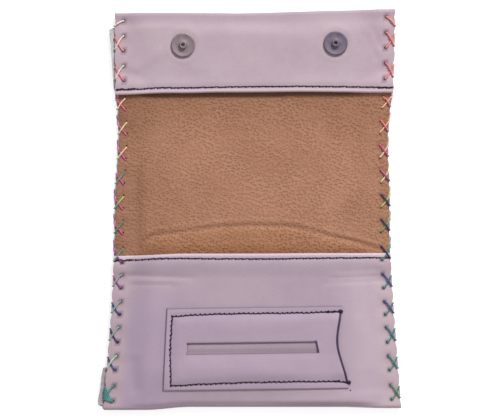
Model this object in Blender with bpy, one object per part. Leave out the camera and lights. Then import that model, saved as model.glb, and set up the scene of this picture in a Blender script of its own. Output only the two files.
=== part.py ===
# Tobacco case of laced leather, lying open on its back.
#
# One strip of lilac leather is the whole outside. Its upper end is folded to the front as the facing of the
# flap, its lower end is folded up as the tobacco pocket. A pigskin lining lies on its inner side. A leather
# sleeve for papers is sewn on the pocket. Both sides are laced in crosses, and two magnetic snaps close the
# flap.
#
# X runs across the case, Y up along it towards the flap, Z up from the table. The origin is on the underside of
# the back panel, midway between its two folds. The case opens at two folds: the pocket turns up onto the back
# panel, then the flap turns down over the pocket.

import math

import bmesh
import bpy
from mathutils import Vector

for old in list(bpy.data.objects):
    bpy.data.objects.remove(old, do_unlink=True)

MM = 0.001

# Thickness of the materials, and the room between pieces that touch on the real case
SHELL = 1.2 * MM
LINING = 0.9 * MM
SLEEVE = 1.0 * MM
LACE = 0.8 * MM
CLEAR = 0.3 * MM

# Lengths along the open case: between the folds, and from each fold to the end of its panel
BACK_LENGTH = 88.6 * MM
FLAP_LENGTH = 50.6 * MM
POCKET_LENGTH = 91.9 * MM
FACING_LENGTH = 47.4 * MM
POCKET_FRONT_LENGTH = 89.6 * MM
SPLIT_OFFSET = 5.8 * MM         # where the leather is divided, outward or inward of a fold
HEM = 7.0 * MM                  # leather turned under at a hem
HEM_SEAM = 2.9 * MM             # from the hem's edge to its stitching

# Distance of each side edge from the middle line, from the flap's top to the pocket's bottom
LEFT_WIDTHS = (80.8 * MM, 80.3 * MM, 79.0 * MM, 81.0 * MM, 81.3 * MM, 82.2 * MM, 87.5 * MM)
RIGHT_WIDTHS = (82.6 * MM, 81.2 * MM, 78.9 * MM, 79.6 * MM, 79.6 * MM, 81.0 * MM, 86.0 * MM)
WAIST_BELOW_FOLD = 18.0 * MM
HIP_ABOVE_FOLD = 30.0 * MM
FLARE_BELOW_MOUTH = 22.0 * MM

# How far the back ply stands out past the front ply at the left: near the flap's top and at the pocket's bottom
FLAP_OVERHANG = 3.2 * MM
FLAP_NOTCH = 9.6 * MM
POCKET_OVERHANG = 2.9 * MM
POCKET_OVERHANG_START = 2.0 * MM
POCKET_OVERHANG_LENGTH = 23.0 * MM
CORNER_STEP = 0.7 * MM

# The top edge rises to the right, the bottom edge drops at the left, the mouth drops at both sides
TOP_RISE = 1.0 * MM
BOTTOM_DROP = 1.4 * MM
BOTTOM_DROP_X = 26.0 * MM       # left of the middle line, where the drop begins
BOTTOM_DROP_RUN = 44.0 * MM
MOUTH_DROP = 1.1 * MM

# Room inside the pocket and under the facing, and how softly the plies come together at the sides and folds
POCKET_ROOM = 4.6 * MM
FACING_ROOM = 1.9 * MM
LACED_BAND = 8.2 * MM
SIDE_RUN = 12.0 * MM
BOTTOM_RUN = 22.0 * MM
TOP_RUN = 14.0 * MM

# Lacing: punched holes in pairs, each pair carrying one cross, evenly spaced along each panel
LACE_INSET = 5.2 * MM
LACE_HOLE = 1.8 * MM
LACE_BYPASS = 2.4 * MM          # how far past the holes the thread runs on from cross to cross
FLAP_FIRST_HOLE = 4.7 * MM      # below the flap's top
FLAP_PAIRS = 2
FLAP_PAIR_SPREAD = 8.8 * MM
FLAP_PAIR_BELOW_TOP = 13.5 * MM
FLAP_PAIR_ABOVE_EDGE = 16.4 * MM
BACK_PAIRS = 6
BACK_PAIR_SPREAD = 7.4 * MM
BACK_PAIR_ABOVE_FLAP_FOLD = 1.1 * MM
BACK_PAIR_ABOVE_MOUTH = 19.75 * MM
MOUTH_PAIR_SPREAD = 9.4 * MM
MOUTH_PAIR_ABOVE_MOUTH = 4.1 * MM
POCKET_PAIRS = 5
POCKET_PAIR_SPREAD = 8.2 * MM
POCKET_PAIR_BELOW_MOUTH = 12.2 * MM
POCKET_PAIR_ABOVE_BOTTOM = 13.0 * MM

# Machine thread
THREAD = 0.5 * MM
SEAM_END = 2.0 * MM

# Paper sleeve
SLEEVE_LEFT = 51.6 * MM
SLEEVE_TOP_RIGHT = 51.0 * MM
SLEEVE_WAIST_RIGHT = 48.8 * MM
SLEEVE_BOTTOM_RIGHT = 55.6 * MM
SLEEVE_WAIST_BELOW_TOP = 20.0 * MM
SLEEVE_TOP_BELOW_MOUTH = 31.2 * MM
SLEEVE_HEIGHT = 48.0 * MM
SLEEVE_ROOM = 0.6 * MM
SLEEVE_SEAM = 4.2 * MM
SLIT_LENGTH = 75.8 * MM
SLIT_WIDTH = 5.8 * MM
SLIT_BELOW_TOP = 23.6 * MM
SLEEVE_TURN = math.radians(0.8)

# Magnetic snaps
SNAP_DIAMETER = 14.0 * MM
SNAP_LEFT_X = -41.0 * MM
SNAP_RIGHT_X = 47.8 * MM
SNAP_BELOW_TOP = 19.4 * MM
SNAP_WALL = 0.5 * MM
PLATE = 0.4 * MM
WASHER = 0.5 * MM
WASHER_DIAMETER = 12.0 * MM
STUD_DIAMETER = 4.3 * MM
STUD_BORE = 2.0 * MM
STUD_SHORT_OF_PLATE = 0.5 * MM
MAGNET = 1.2 * MM
PRONG_WIDTH = 3.0 * MM
PRONG_OFFSET = 3.4 * MM
PRONG_FOOT = 2.4 * MM
DOME_RUN = 7.0 * MM

# How finely the round shapes are divided
ROUND_STEPS = 16
HOLE_SIDES = 6
FOLD_STEPS = 5
HEM_STEPS = 4
SLEEVE_ROWS = 8
SHARP = math.radians(35)
SAME_POINT = 0.001 * MM

# Places that follow from these
FLAP_FOLD_Y = BACK_LENGTH / 2
POCKET_FOLD_Y = -BACK_LENGTH / 2
FLAP_SPLIT_Y = FLAP_FOLD_Y + SPLIT_OFFSET
POCKET_SPLIT_Y = POCKET_FOLD_Y + SPLIT_OFFSET
TOP_Y = FLAP_FOLD_Y + FLAP_LENGTH
BOTTOM_Y = POCKET_FOLD_Y - POCKET_LENGTH
FACING_Y = TOP_Y - FACING_LENGTH
MOUTH_Y = BOTTOM_Y + POCKET_FRONT_LENGTH
STATIONS = (TOP_Y, FLAP_SPLIT_Y, FLAP_FOLD_Y - WAIST_BELOW_FOLD, POCKET_FOLD_Y + HIP_ABOVE_FOLD,
            POCKET_FOLD_Y, MOUTH_Y - FLARE_BELOW_MOUTH, BOTTOM_Y)

# Levels in the flat middle of the case
LINING_LEVEL = SHELL + CLEAR
FRONT_LEVEL = LINING_LEVEL + LINING + CLEAR
LACE_ROOM = LACE + CLEAR
FOLD_RADIUS = FRONT_LEVEL / 2
HEM_BEND = (SHELL + 0.2 * MM) / 2
HEM_ROOM = 2 * HEM_BEND

# Stack of a magnet snap under the pocket's back ply, and of its washer and prongs above it
MAGNET_CASE = SNAP_WALL + CLEAR + MAGNET
MAGNET_STACK = MAGNET_CASE + CLEAR + PLATE + CLEAR
WASHER_ROOM = CLEAR + WASHER + CLEAR + PLATE
CAP_HEIGHT = PLATE + CLEAR + SNAP_WALL
CAP_FACE = FRONT_LEVEL + FACING_ROOM + SHELL + CLEAR + CAP_HEIGHT
STUD_LENGTH = MAGNET_CASE + CLEAR - STUD_SHORT_OF_PLATE

# Heights of the two fold axes: the pocket clears the back panel, and the flap's snaps meet the pocket's
LACE_CROSS = LACE_ROOM + LACE_ROOM
BACK_LACE_TOP = LACE_ROOM + SHELL + CLEAR + LINING + LACE_CROSS
FRONT_LACE_TOP = BACK_LACE_TOP + CLEAR + SHELL
SLEEVE_TOP_LEVEL = FRONT_LEVEL + POCKET_ROOM + SHELL + CLEAR + SLEEVE_ROOM + SLEEVE
HEM_TOP_LEVEL = FRONT_LEVEL + POCKET_ROOM + HEM_ROOM + SHELL + CLEAR + THREAD
MIDDLE_STACK = LINING_LEVEL + LINING + max(SLEEVE_TOP_LEVEL, HEM_TOP_LEVEL)
SIDE_STACK = BACK_LACE_TOP + FRONT_LACE_TOP
POCKET_AXIS_Z = max(MIDDLE_STACK, SIDE_STACK) / 2 + CLEAR
FLAP_PAIR_ON_HEM = min(max(2 * HEM - FLAP_PAIR_ABOVE_EDGE + FLAP_PAIR_SPREAD / 2, 0.0), HEM)
FLAP_LACE_TOP = FRONT_LACE_TOP + HEM_ROOM * FLAP_PAIR_ON_HEM / HEM
FLAP_AXIS_Z = POCKET_AXIS_Z + (max(CAP_FACE, FLAP_LACE_TOP) + CLEAR) / 2

SNAP_Y = TOP_Y - SNAP_BELOW_TOP
MAGNET_Y = 2 * POCKET_FOLD_Y - 2 * FLAP_FOLD_Y + SNAP_Y
SNAP_TILT = TOP_RISE / RIGHT_WIDTHS[0]
SNAPS = (("left", SNAP_LEFT_X), ("right", SNAP_RIGHT_X))
DOME_HALF_X = SNAP_DIAMETER / 2 + 2 * CLEAR
DOME_HALF_Y = DOME_HALF_X + abs(SNAP_TILT) * max(-SNAP_LEFT_X, SNAP_RIGHT_X)


# Curves and heights that every ply of the case follows

def ramp(t):
    return min(max(t, 0.0), 1.0)


def smooth(t):
    # Eased rise from 0 to 1, straight between thirds, where the plies have their rows and columns.
    low = min(math.floor(ramp(t) * 3), 2)
    ease = [k * k * (3 - 2 * k) for k in (low / 3, (low + 1) / 3)]
    return ease[0] + (ease[1] - ease[0]) * (ramp(t) * 3 - low)


def along(widths, y):
    # Cubic curve through one width at each station.
    last = len(STATIONS) - 1
    i = 0
    while i < last - 1 and y < STATIONS[i + 1]:
        i += 1
    slopes = []
    for k in (i, i + 1):
        before, after = max(k - 1, 0), min(k + 1, last)
        slopes.append((widths[after] - widths[before]) / (STATIONS[after] - STATIONS[before]))
    span = STATIONS[i + 1] - STATIONS[i]
    t = min(max((y - STATIONS[i]) / span, 0.0), 1.0)
    return ((2 * t ** 3 - 3 * t ** 2 + 1) * widths[i] + (t ** 3 - 2 * t ** 2 + t) * span * slopes[0]
            + (3 * t ** 2 - 2 * t ** 3) * widths[i + 1] + (t ** 3 - t ** 2) * span * slopes[1])


def left_edge(y):
    return -along(LEFT_WIDTHS, y)


def right_edge(y):
    return along(RIGHT_WIDTHS, y)


def overhang(y):
    # How far the back ply stands out past the front ply at the left.
    notch = TOP_Y - FLAP_NOTCH
    corner = BOTTOM_Y + POCKET_OVERHANG_LENGTH
    if FLAP_SPLIT_Y < y <= notch:
        return FLAP_OVERHANG * (y - FLAP_SPLIT_Y) / (notch - FLAP_SPLIT_Y)
    if y <= corner:
        growth = (corner - y) / POCKET_OVERHANG_LENGTH
        return POCKET_OVERHANG_START + (POCKET_OVERHANG - POCKET_OVERHANG_START) * growth
    return 0.0


def inset(x, y):
    return min(x - left_edge(y), right_edge(y) - x)


def side_rise(x, y):
    return smooth((inset(x, y) - LACED_BAND) / SIDE_RUN)


def lace_lift(x, y):
    # The laced sides are held clear of the table by the thread under them.
    return LACE_ROOM * (1 - side_rise(x, y))


def shoulder(distance, half, run):
    return ramp((half + run - distance) / run)


def dome(x, y):
    # 1 over a magnet snap, falling to 0 around it.
    across = max(shoulder(abs(x - snap_x), DOME_HALF_X, DOME_RUN) for _, snap_x in SNAPS)
    return across * shoulder(abs(y - MAGNET_Y), DOME_HALF_Y, DOME_RUN)


def base(x, y):
    return lace_lift(x, y) + MAGNET_STACK * dome(x, y)


def lining_base(x, y):
    return base(x, y) + LINING_LEVEL + WASHER_ROOM * dome(x, y)


def facing_base(x, y):
    pillow = FACING_ROOM * side_rise(x, y) * smooth((TOP_Y - y) / TOP_RUN)
    hem = HEM_ROOM * ramp((FACING_Y + 2 * HEM - y) / HEM)
    return lace_lift(x, y) + FRONT_LEVEL + max(pillow, hem)


def front_base(x, y):
    pillow = POCKET_ROOM * side_rise(x, y) * smooth((y - BOTTOM_Y) / BOTTOM_RUN)
    hem = HEM_ROOM * ramp((y - MOUTH_Y + 2 * HEM) / HEM)
    return lace_lift(x, y) + FRONT_LEVEL + pillow + hem


def lay(x, y):
    # The slight run of the top and bottom edges, shared by all that lies near them.
    top = SNAP_TILT * x * smooth((y - FLAP_FOLD_Y) / (FLAP_LENGTH / 2))
    drop = smooth((-x - BOTTOM_DROP_X) / BOTTOM_DROP_RUN)
    bottom = BOTTOM_DROP * drop * smooth((BOTTOM_Y + BOTTOM_RUN - y) / BOTTOM_RUN)
    return y + top - bottom


def mouth_lay(x, y):
    # The mouth's edge is straight in its middle half and drops towards both sides.
    quarter = RIGHT_WIDTHS[STATIONS.index(POCKET_FOLD_Y)] / 2
    drop = MOUTH_DROP * smooth((abs(x) - quarter) / quarter)
    return lay(x, y) - drop * ramp((y - MOUTH_Y + 2 * HEM) / HEM)


# Helpers that make objects

def material(name, colour, roughness, metallic=0.0):
    made = bpy.data.materials.new(name)
    made.use_nodes = True
    shader = made.node_tree.nodes["Principled BSDF"]
    shader.inputs["Base Color"].default_value = (*colour, 1.0)
    shader.inputs["Roughness"].default_value = roughness
    shader.inputs["Metallic"].default_value = metallic
    return made


def hinge(name, y, z):
    empty = bpy.data.objects.new(name, None)
    empty.location = (0, y, z)
    bpy.context.scene.collection.objects.link(empty)
    return empty


def add(name, data, finish, parent=None, place=(0, 0, 0)):
    # Place is in the frame of the whole case; a moving piece hangs on its hinge.
    made = bpy.data.objects.new(name, data)
    bpy.context.scene.collection.objects.link(made)
    data.materials.append(finish)
    made.location = place
    if parent is not None:
        made.parent = parent
        made.location = Vector(place) - parent.location
    return made


def cutter(name, mesh):
    made = bpy.data.objects.new(name, mesh)
    bpy.context.scene.collection.objects.link(made)
    made.hide_render = True
    made.display_type = "WIRE"
    return made


def boolean(target, tool, operation):
    step = target.modifiers.new(tool.name, "BOOLEAN")
    step.operation = operation
    step.object = tool


def to_mesh(name, bm):
    bmesh.ops.recalc_face_normals(bm, faces=bm.faces)
    mesh = bpy.data.meshes.new(name)
    bm.to_mesh(mesh)
    bm.free()
    return mesh


def columns(y, marks=(), over=0.0):
    # Places across the case where its surface bends: the sides, then the given marks.
    low, high = left_edge(y), right_edge(y)
    bends = [LACED_BAND + SIDE_RUN * k / 3 for k in range(4)]
    inner = sorted([low + d for d in bends] + [high - d for d in bends] + list(marks))
    for i in range(1, len(inner)):
        inner[i] = max(inner[i], inner[i - 1] + 2 * CLEAR)
    return [low - over] + inner + [high]


def flat_row(y, height, marks=(), over=0.0, run=lay):
    return [Vector((x, run(x, y), height(max(x, left_edge(y)), y))) for x in columns(y, marks, over)]


def bend_rows(first, second, outward, steps):
    # Round fold that leads from one row to the row above or below it; outward is +1 towards the flap.
    rows = []
    for k in range(1, steps):
        angle = math.pi * k / steps
        row = []
        for a, b in zip(first, second):
            middle, half = (a + b) / 2, (a - b) / 2
            reach = abs(half.z) * math.sin(angle) * outward
            row.append(middle + half * math.cos(angle) + Vector((0, reach, 0)))
        rows.append(row)
    return rows


def ply(name, rows, thickness, finish, parent=None):
    # A sheet through the rows, given its thickness to both sides.
    bm = bmesh.new()
    grid = [[bm.verts.new(point) for point in row] for row in rows]
    for low, high in zip(grid, grid[1:]):
        for a, b, c, d in zip(low, low[1:], high[1:], high):
            bm.faces.new((a, b, c))
            bm.faces.new((a, c, d))
    made = add(name, to_mesh(name, bm), finish, parent)
    solid = made.modifiers.new("thickness", "SOLIDIFY")
    solid.thickness = thickness
    solid.offset = 0.0
    solid.use_even_offset = True
    return made


def turned(name, profile, finish, parent, place):
    # Ring or disc turned about the vertical, from a closed profile of (radius, height).
    bm = bmesh.new()
    loop = [bm.verts.new((radius, 0, height)) for radius, height in profile]
    edges = [bm.edges.new(pair) for pair in zip(loop, loop[1:] + loop[:1])]
    bmesh.ops.spin(bm, geom=loop + edges, cent=(0, 0, 0), axis=(0, 0, 1), angle=math.tau, steps=ROUND_STEPS,
                   use_merge=True)
    bmesh.ops.remove_doubles(bm, verts=bm.verts, dist=SAME_POINT)
    bmesh.ops.dissolve_degenerate(bm, edges=bm.edges, dist=SAME_POINT)
    made = add(name, to_mesh(name, bm), finish, parent, place)
    made.data.shade_smooth()
    made.data.set_sharp_from_angle(angle=SHARP)
    return made


def round_bar(bm, sides, diameter, length, middle):
    made = bmesh.ops.create_cone(bm, cap_ends=True, segments=sides, radius1=diameter / 2, radius2=diameter / 2,
                                 depth=length)
    bmesh.ops.translate(bm, verts=made["verts"], vec=middle)


def box(bm, low, high):
    corners = [bm.verts.new((x, y, z)) for z in (low[2], high[2])
               for x, y in ((low[0], low[1]), (high[0], low[1]), (high[0], high[1]), (low[0], high[1]))]
    bm.faces.new(corners[3::-1])
    bm.faces.new(corners[4:])
    for k in range(4):
        n = (k + 1) % 4
        bm.faces.new((corners[k], corners[n], corners[n + 4], corners[k + 4]))


def thread(name, points, diameter, finish, parent):
    # One length of thread through the points.
    curve = bpy.data.curves.new(name, "CURVE")
    curve.dimensions = "3D"
    curve.bevel_depth = diameter / 2
    curve.bevel_resolution = 0
    curve.use_fill_caps = True
    line = curve.splines.new("POLY")
    line.points.add(len(points) - 1)
    for knot, point in zip(line.points, points):
        knot.co = (*point, 1.0)
    return add(name, curve, finish, parent)


LILAC = material("lilac_leather", (0.49, 0.38, 0.43), 0.55)
PIGSKIN = material("pigskin", (0.40, 0.20, 0.13), 0.75)
STEEL = material("snap_steel", (0.55, 0.53, 0.55), 0.3, 1.0)
MAGNET_GREY = material("magnet", (0.12, 0.12, 0.13), 0.6)
NAVY = material("navy_thread", (0.03, 0.02, 0.10), 0.6)
LACE_COLOURS = {
    ("left", "flap"): (0.85, 0.35, 0.35),
    ("left", "back"): (0.75, 0.75, 0.30),
    ("left", "pocket"): (0.10, 0.35, 0.35),
    ("right", "flap"): (0.90, 0.25, 0.12),
    ("right", "back"): (0.80, 0.35, 0.45),
    ("right", "pocket"): (0.05, 0.25, 0.35),
}

flap_hinge = hinge("flap_hinge", FLAP_FOLD_Y, FLAP_AXIS_Z)
pocket_hinge = hinge("pocket_hinge", POCKET_FOLD_Y, POCKET_AXIS_Z)


# The outer leather and its lining

def middle_of(height, thickness):
    return lambda x, y: height(x, y) + thickness / 2


back_shell_mid = middle_of(base, SHELL)
lining_mid = middle_of(lining_base, LINING)
facing_mid = middle_of(facing_base, SHELL)
front_mid = middle_of(front_base, SHELL)


def under_hem(height):
    return lambda x, y: height(x, y) - 2 * HEM_BEND


def spaced(start, end, parts):
    return [start + (end - start) * k / parts for k in range(parts + 1)]


FRONT_BENDS = spaced(BOTTOM_Y, BOTTOM_Y + BOTTOM_RUN, 3)


def make_back():
    ys = spaced(FLAP_SPLIT_Y - CLEAR / 2, POCKET_SPLIT_Y + CLEAR / 2, 6)
    for name, height, thickness, finish in (("shell_back", back_shell_mid, SHELL, LILAC),
                                            ("lining_back", lining_mid, LINING, PIGSKIN)):
        yield ply(name, [flat_row(y, height) for y in ys], thickness, finish)


def make_flap():
    fold_y = TOP_Y - FOLD_RADIUS - SHELL / 2
    notch = TOP_Y - FLAP_NOTCH
    start = FLAP_SPLIT_Y + CLEAR / 2
    back_ys = spaced(start, notch, 2) + [notch + CORNER_STEP, fold_y]
    back = [flat_row(y, back_shell_mid, over=overhang(y)) for y in back_ys]
    hem_y = FACING_Y + HEM_BEND + SHELL / 2
    facing_ys = [fold_y] + spaced(TOP_Y, TOP_Y - TOP_RUN, 3)[1:] + [FACING_Y + 2 * HEM, FACING_Y + HEM, hem_y]
    facing = [flat_row(y, facing_mid) for y in facing_ys]
    under = [flat_row(y, under_hem(facing_mid)) for y in (hem_y, FACING_Y + HEM)]
    fold = bend_rows(back[-1], facing[0], 1, FOLD_STEPS)
    hem = bend_rows(facing[-1], under[0], -1, HEM_STEPS)
    yield ply("shell_flap", back + fold + facing + hem + under, SHELL, LILAC, flap_hinge)
    lining_ys = spaced(start, notch, 2) + [fold_y - CLEAR]
    yield ply("lining_flap", [flat_row(y, lining_mid) for y in lining_ys], LINING, PIGSKIN, flap_hinge)


def make_pocket():
    dome_reaches = (DOME_HALF_X, DOME_HALF_X + DOME_RUN)
    marks = [x + way * reach for _, x in SNAPS for way in (-1, 1) for reach in dome_reaches]
    fold_y = BOTTOM_Y + FOLD_RADIUS + SHELL / 2
    corner = BOTTOM_Y + POCKET_OVERHANG_LENGTH
    reaches = (DOME_HALF_Y + DOME_RUN, DOME_HALF_Y)
    dome_ys = [MAGNET_Y + r for r in reaches] + [MAGNET_Y - r for r in reversed(reaches)]
    back_ys = sorted([POCKET_SPLIT_Y - CLEAR / 2, POCKET_FOLD_Y, MOUTH_Y - 2 * HEM, *dome_ys, corner, fold_y],
                     reverse=True)
    step = back_ys.index(corner)
    shell_ys = back_ys[:step] + [corner + CORNER_STEP] + back_ys[step:]
    back = [flat_row(y, back_shell_mid, marks, overhang(y)) for y in shell_ys]
    hem_y = MOUTH_Y - HEM_BEND - SHELL / 2
    front_ys = [fold_y] + FRONT_BENDS[1:]
    front_ys += spaced(FRONT_BENDS[-1], MOUTH_Y - 2 * HEM, 3)[1:] + [MOUTH_Y - HEM, hem_y]
    front = [flat_row(y, front_mid, marks, run=mouth_lay) for y in front_ys]
    under = [flat_row(y, under_hem(front_mid), marks, run=mouth_lay) for y in (hem_y, MOUTH_Y - HEM)]
    fold = bend_rows(back[-1], front[0], -1, FOLD_STEPS)
    hem = bend_rows(front[-1], under[0], 1, HEM_STEPS)
    yield ply("shell_pocket", back + fold + front + hem + under, SHELL, LILAC, pocket_hinge)
    lining = [flat_row(y, lining_mid, marks) for y in back_ys[:-1] + [fold_y + CLEAR]]
    yield ply("lining_pocket", lining, LINING, PIGSKIN, pocket_hinge)


leather = {piece.name: piece for make in (make_back, make_flap, make_pocket) for piece in make()}


# Lacing holes, and the lacing: one cross of thread through each pair of holes

def hole_pairs(first, last, count, spread):
    # Pairs from the first to the last, named by their upper holes.
    return [(y, y - spread) for y in spaced(first, last, max(count - 1, 1))[:count]]


LACING = {
    "flap": [(TOP_Y - FLAP_FIRST_HOLE, None)] + hole_pairs(
        TOP_Y - FLAP_PAIR_BELOW_TOP, FACING_Y + FLAP_PAIR_ABOVE_EDGE, FLAP_PAIRS, FLAP_PAIR_SPREAD),
    "back": hole_pairs(
        FLAP_FOLD_Y + BACK_PAIR_ABOVE_FLAP_FOLD, MOUTH_Y + BACK_PAIR_ABOVE_MOUTH, BACK_PAIRS, BACK_PAIR_SPREAD),
    "pocket": [(MOUTH_Y + MOUTH_PAIR_ABOVE_MOUTH, MOUTH_Y + MOUTH_PAIR_ABOVE_MOUTH - MOUTH_PAIR_SPREAD)]
    + hole_pairs(MOUTH_Y - POCKET_PAIR_BELOW_MOUTH, BOTTOM_Y + POCKET_PAIR_ABOVE_BOTTOM, POCKET_PAIRS,
                 POCKET_PAIR_SPREAD),
}


def hole_x(side, y):
    return right_edge(y) - LACE_INSET if side == "right" else left_edge(y) + LACE_INSET


def top_of_stack(section, x, y):
    if section == "flap":
        return facing_base(x, y) + SHELL
    if section == "pocket" and y < MOUTH_Y:
        return front_base(x, y) + SHELL
    return lining_base(x, y) + LINING


def punch():
    bm = bmesh.new()
    for pairs in LACING.values():
        for y in (y for pair in pairs for y in pair if y is not None):
            for side in ("left", "right"):
                x = hole_x(side, y)
                round_bar(bm, HOLE_SIDES, LACE_HOLE, 3 * FRONT_LACE_TOP, (x, lay(x, y), FRONT_LACE_TOP / 2))
    return cutter("lacing_punch", to_mesh("lacing_punch", bm))


def lacing_path(section, side):
    # For each pair: up through the first hole, slanting over the edge and back under it, up through the second
    # hole, across the first slant and over the edge, then on under the leather to the next pair.
    way = 1 if side == "right" else -1
    run = CLEAR + LACE / 2

    def at(y, out, z):
        x = hole_x(side, y) + way * out
        return Vector((x, lay(x, y), z))

    def levels(y):
        x = hole_x(side, y)
        return base(x, y) - run, top_of_stack(section, x, y) + run

    def reach(y):
        return LACE_INSET + (overhang(y) if side == "left" else 0.0)

    def around(y):
        low, high = levels(y)
        edge = reach(y) + run / 2
        return [at(y, edge, high), at(y, edge + run / 2, (low + high) / 2), at(y, edge, low)]

    points = []
    for first, second in LACING[section]:
        low, high = levels(first)
        points += [at(first, 0, low), at(first, 0, high)]
        passing = first - LACE_ROOM
        if second is not None:
            low_second, high_second = levels(second)
            cross = max(high, levels((first + second) / 2)[1])
            points.append(at((first + second) / 2, reach(second) / 2, cross))
            points += around(second) + [at(second, 0, low_second), at(second, 0, high_second)]
            points.append(at((passing + second) / 2, reach(second) / 2, cross + LACE_ROOM))
        points += around(passing)
        if second is not None:
            points.append(at(passing, -LACE_BYPASS, low))
    return points


lacing_punch = punch()
for piece in leather.values():
    boolean(piece, lacing_punch, "DIFFERENCE")
for panel, parent in (("flap", flap_hinge), ("back", None), ("pocket", pocket_hinge)):
    for side in ("left", "right"):
        name = f"lacing_{side}_{panel}"
        finish = material(f"{name}_thread", LACE_COLOURS[side, panel], 0.6)
        thread(name, lacing_path(panel, side), LACE, finish, parent)


# The paper sleeve on the pocket, with its slit

SLEEVE_TOP_Y = MOUTH_Y - SLEEVE_TOP_BELOW_MOUTH
SLEEVE_BOTTOM_Y = SLEEVE_TOP_Y - SLEEVE_HEIGHT
SLIT_Y = SLEEVE_TOP_Y - SLIT_BELOW_TOP


def sleeve_right(y):
    # Open end of the sleeve: drawn in at its waist, then running out to the bottom corner.
    below = SLEEVE_TOP_Y - y
    waist = smooth(below / SLEEVE_WAIST_BELOW_TOP)
    out = smooth((below - SLEEVE_WAIST_BELOW_TOP) / (SLEEVE_HEIGHT - SLEEVE_WAIST_BELOW_TOP))
    return (SLEEVE_TOP_RIGHT + (SLEEVE_WAIST_RIGHT - SLEEVE_TOP_RIGHT) * waist
            + (SLEEVE_BOTTOM_RIGHT - SLEEVE_WAIST_RIGHT) * out)


def sleeve_point(x, y):
    # The sleeve lies slightly turned on the pocket, over the front ply.
    seam = min(x + SLEEVE_LEFT, SLEEVE_TOP_Y - y, y - SLEEVE_BOTTOM_Y)
    turned_y = y + x * math.tan(SLEEVE_TURN)
    room = SLEEVE_ROOM * ramp(seam / SLEEVE_SEAM - 1)
    return Vector((x, turned_y, front_base(x, turned_y) + SHELL + CLEAR + room))


def make_sleeve():
    seams = [SLEEVE_SEAM, 2 * SLEEVE_SEAM]
    front_bends = [y for y in FRONT_BENDS if y > SLEEVE_BOTTOM_Y + 2 * SLEEVE_SEAM]
    ys = spaced(SLEEVE_TOP_Y, SLEEVE_BOTTOM_Y, SLEEVE_ROWS) + front_bends
    ys += [SLEEVE_TOP_Y - s for s in seams] + [SLEEVE_BOTTOM_Y + s for s in seams]
    ys.sort(reverse=True)
    rows = []
    for y in ys:
        xs = [-SLEEVE_LEFT] + [s - SLEEVE_LEFT for s in seams] + [0.0, sleeve_right(y)]
        rows.append([sleeve_point(x, y) + Vector((0, 0, SLEEVE / 2)) for x in xs])
    made = ply("paper_sleeve", rows, SLEEVE, LILAC, pocket_hinge)
    bm = bmesh.new()
    reach = FRONT_LEVEL + POCKET_ROOM + SHELL
    half_length, half_width = SLIT_LENGTH / 2, SLIT_WIDTH / 2
    box(bm, (-half_length, -half_width, reach + CLEAR / 2), (half_length, half_width, 2 * reach))
    slit = cutter("slit_cut", to_mesh("slit_cut", bm))
    slit.location = (0, SLIT_Y, 0)
    slit.rotation_euler.z = SLEEVE_TURN
    boolean(made, slit, "DIFFERENCE")
    return made


make_sleeve()


# Machine seams, each one length of thread on its leather

ON_LEATHER = CLEAR + THREAD / 2


def hem_seam(name, y, base_of, parent, run=lay):
    row = flat_row(y, lambda x, y: base_of(x, y) + SHELL + ON_LEATHER, run=run)
    row[0].x += SEAM_END
    row[-1].x -= SEAM_END
    thread(name, row, THREAD, NAVY, parent)


def sleeve_seam():
    # Along the top, down the left side and along the bottom; the right end stays open.
    left = SLEEVE_SEAM - SLEEVE_LEFT
    top = SLEEVE_TOP_Y - SLEEVE_SEAM
    bottom = SLEEVE_BOTTOM_Y + SLEEVE_SEAM
    bends = [(left, y) for y in reversed(FRONT_BENDS) if y > bottom]
    places = [(sleeve_right(top) - SEAM_END, top), (0, top), (left, top), *bends,
              (left, bottom), (0, bottom), (sleeve_right(bottom) - SEAM_END, bottom)]
    points = [sleeve_point(x, y) + Vector((0, 0, SLEEVE + ON_LEATHER)) for x, y in places]
    thread("sleeve_thread", points, THREAD, NAVY, pocket_hinge)


hem_seam("flap_hem_thread", FACING_Y + HEM_SEAM, facing_base, flap_hinge)
hem_seam("mouth_hem_thread", MOUTH_Y - HEM_SEAM, front_base, pocket_hinge, mouth_lay)
sleeve_seam()


# Magnetic snaps: stud caps on the flap's facing, magnets on the outer side of the pocket

def prong_plate(name, plate_low, foot, parent, place, diameter):
    # Round plate with two prongs that pass the leather and its washer and turn outward at the foot level.
    bm = bmesh.new()
    root = plate_low + PLATE / 2
    round_bar(bm, ROUND_STEPS, diameter, PLATE, (0, 0, root))
    plate = add(name, to_mesh(name, bm), STEEL, parent, place)
    bend, sole = (foot, foot + PLATE) if foot > plate_low else (foot + PLATE, foot)
    inner, outer, tip = PRONG_OFFSET - PLATE / 2, PRONG_OFFSET + PLATE / 2, PRONG_OFFSET + PRONG_FOOT
    outline = [(inner, root), (outer, root), (outer, bend), (tip, bend), (tip, sole), (inner, sole)]
    bm = bmesh.new()
    for way in (-1, 1):
        front = [bm.verts.new((way * x, -PRONG_WIDTH / 2, z)) for x, z in outline]
        rear = [bm.verts.new((way * x, PRONG_WIDTH / 2, z)) for x, z in outline]
        bm.faces.new(front)
        bm.faces.new(rear[::-1])
        for k in range(len(outline)):
            n = (k + 1) % len(outline)
            bm.faces.new((front[k], rear[k], rear[n], front[n]))
    prongs = cutter(f"{name}_prongs", to_mesh(f"{name}_prongs", bm))
    prongs.location = place
    boolean(plate, prongs, "UNION")
    return plate


def prong_slots(name, place, low, high):
    bm = bmesh.new()
    half = PLATE / 2 + CLEAR
    depth = PRONG_WIDTH / 2 + CLEAR
    for middle in (-PRONG_OFFSET, PRONG_OFFSET):
        box(bm, (middle - half, -depth, low), (middle + half, depth, high))
    slots = cutter(name, to_mesh(name, bm))
    slots.location = place
    return slots


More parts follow.
